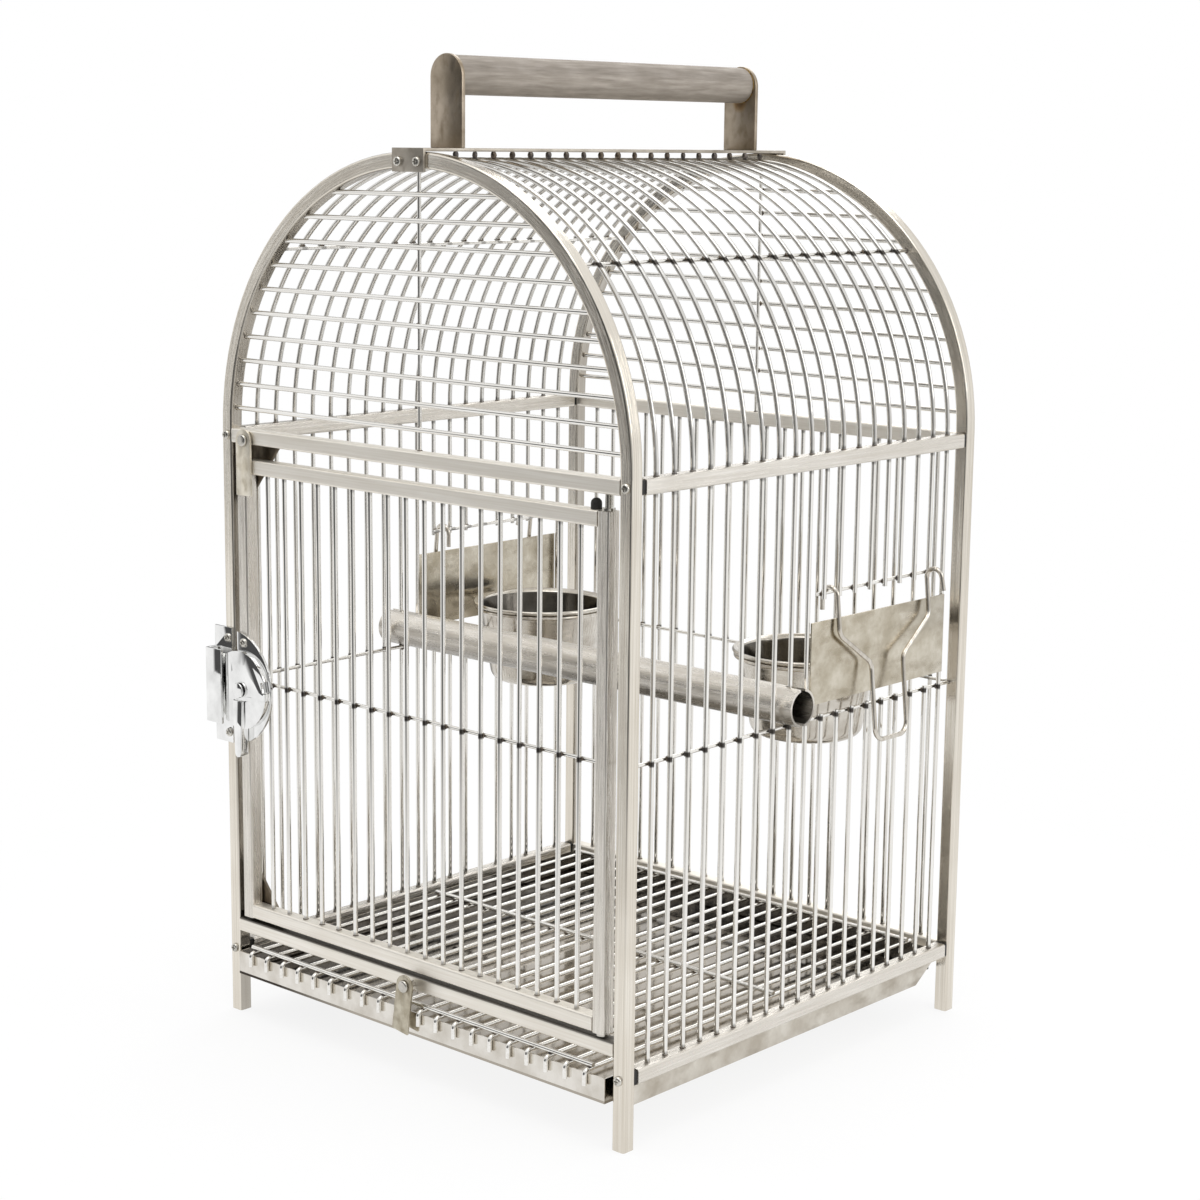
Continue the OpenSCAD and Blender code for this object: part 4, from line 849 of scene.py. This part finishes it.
# The floor is white paper: it glows to the eye and in the steel, and keeps a share of plain matt white
# near the cage, on which the cage's shadow falls. It ends soon on the left behind the cage, where the
# steel mirrors the dark room past its edge, and in the steel it darkens towards the camera's left hand.
floor_material, tree, place = start("white_paper_floor")
ray = add(tree, "ShaderNodeLightPath").outputs
seen = add(tree, "ShaderNodeMath", {0: ray["Is Camera Ray"], 1: ray["Is Glossy Ray"]}, operation="MAXIMUM")
seen = add(tree, "ShaderNodeMath", {0: seen, 1: ray["Is Transmission Ray"]}, operation="MAXIMUM")
away = add(tree, "ShaderNodeVectorMath", {0: place}, operation="LENGTH").outputs["Value"]
glow = add(tree, "ShaderNodeMapRange", {"Value": away, "From Min": GLOW_NEAR, "From Max": GLOW_FAR,
                                        "To Min": NEAR_SHARE, "To Max": 1.0})
share = add(tree, "ShaderNodeMath", {0: seen, 1: glow}, operation="MULTIPLY")
matt = add(tree, "ShaderNodeBsdfDiffuse", {"Color": linear("#F2F2F2")})
far = add(tree, "ShaderNodeMapRange", {"Value": away, "From Min": SHADE_NEAR, "From Max": SHADE_FAR})
mirrored = white_left(tree, place, far, FLOOR_SHADES)
strength = add(tree, "ShaderNodeMix", {0: ray["Is Glossy Ray"], 2: 1.0, 3: mirrored}, data_type="FLOAT")
white = add(tree, "ShaderNodeEmission", {"Color": (1, 1, 1, 1), "Strength": strength})
paper = add(tree, "ShaderNodeMixShader", {0: share, 1: matt, 2: white})
add(tree, "ShaderNodeOutputMaterial", {"Surface": paper})
clear_selection()
bpy.ops.mesh.primitive_plane_add(size=FLOOR_SIZE, location=FLOOR_PLACE, rotation=(0, 0, FLOOR_TURN))
bpy.ops.object.transform_apply(location=True, rotation=True, scale=True)
floor = bpy.context.object
floor.name = "studio_floor"
floor.data.materials.append(floor_material)

# A white studio for the steel to mirror. Low down it is dark at the camera's left hand and dim on the side
# that the camera stands on, and two narrower shades stand behind the cage on the left and the right.
SHADES = ((-92, -86, -25, 8, 0.92), (-30, -5, 30, 60, 0.45), (-179, -172, -156, -146, 0.7),
          (108, 118, 148, 162, 0.25))
SHADE_TOP, SHADE_END = math.sin(math.radians(24)), math.sin(math.radians(38))
LEVEL_WHITE, OVERHEAD_WHITE = 1.0, 1.05
world = bpy.data.worlds.new("white_studio")
scene.world = world
world.use_nodes = True
tree = world.node_tree
tree.nodes.clear()
way = add(tree, "ShaderNodeTexCoord").outputs["Generated"]
height = add(tree, "ShaderNodeSeparateXYZ", {0: way}).outputs[2]
low = add(tree, "ShaderNodeMapRange", {"Value": height, "From Min": SHADE_END, "From Max": SHADE_TOP})
studio = add(tree, "ShaderNodeMapRange", {"Value": height, "To Min": LEVEL_WHITE, "To Max": OVERHEAD_WHITE})
studio = add(tree, "ShaderNodeMath", {0: studio, 1: white_left(tree, way, low, SHADES)},
             operation="MULTIPLY")
ray = add(tree, "ShaderNodeLightPath").outputs
seen = add(tree, "ShaderNodeMath", {0: ray["Is Camera Ray"], 1: ray["Is Transmission Ray"]},
           operation="MAXIMUM")
strength = add(tree, "ShaderNodeMix", {0: seen, 2: studio, 3: 1.0}, data_type="FLOAT")
sky = add(tree, "ShaderNodeBackground", {"Color": (1, 1, 1, 1), "Strength": strength})
add(tree, "ShaderNodeOutputWorld", {"Surface": sky})

# Soft boxes: name, place in metres, size in metres, power in watts. All aim at one point in the cage.
LAMP_AIM = Vector((0, 0, 0.3))
SOFT_BOXES = (("back_soft_box", (-0.7, 1.6, 1.6), 1.0, 6), ("right_soft_box", (1.7, 0.5, 1.1), 1.0, 6),
              ("top_soft_box", (0.1, -0.3, 1.9), 1.2, 9))
for name, spot, size, power in SOFT_BOXES:
    lamp = bpy.data.lights.new(name, "AREA")
    lamp.shape = "SQUARE"
    lamp.size = size
    lamp.energy = power
    holder = bpy.data.objects.new(name, lamp)
    scene.collection.objects.link(holder)
    aim = LAMP_AIM - Vector(spot)
    holder.matrix_world = Matrix.Translation(spot) @ aim.to_track_quat("-Z", "Y").to_matrix().to_4x4()

scene.view_settings.view_transform = "Standard"
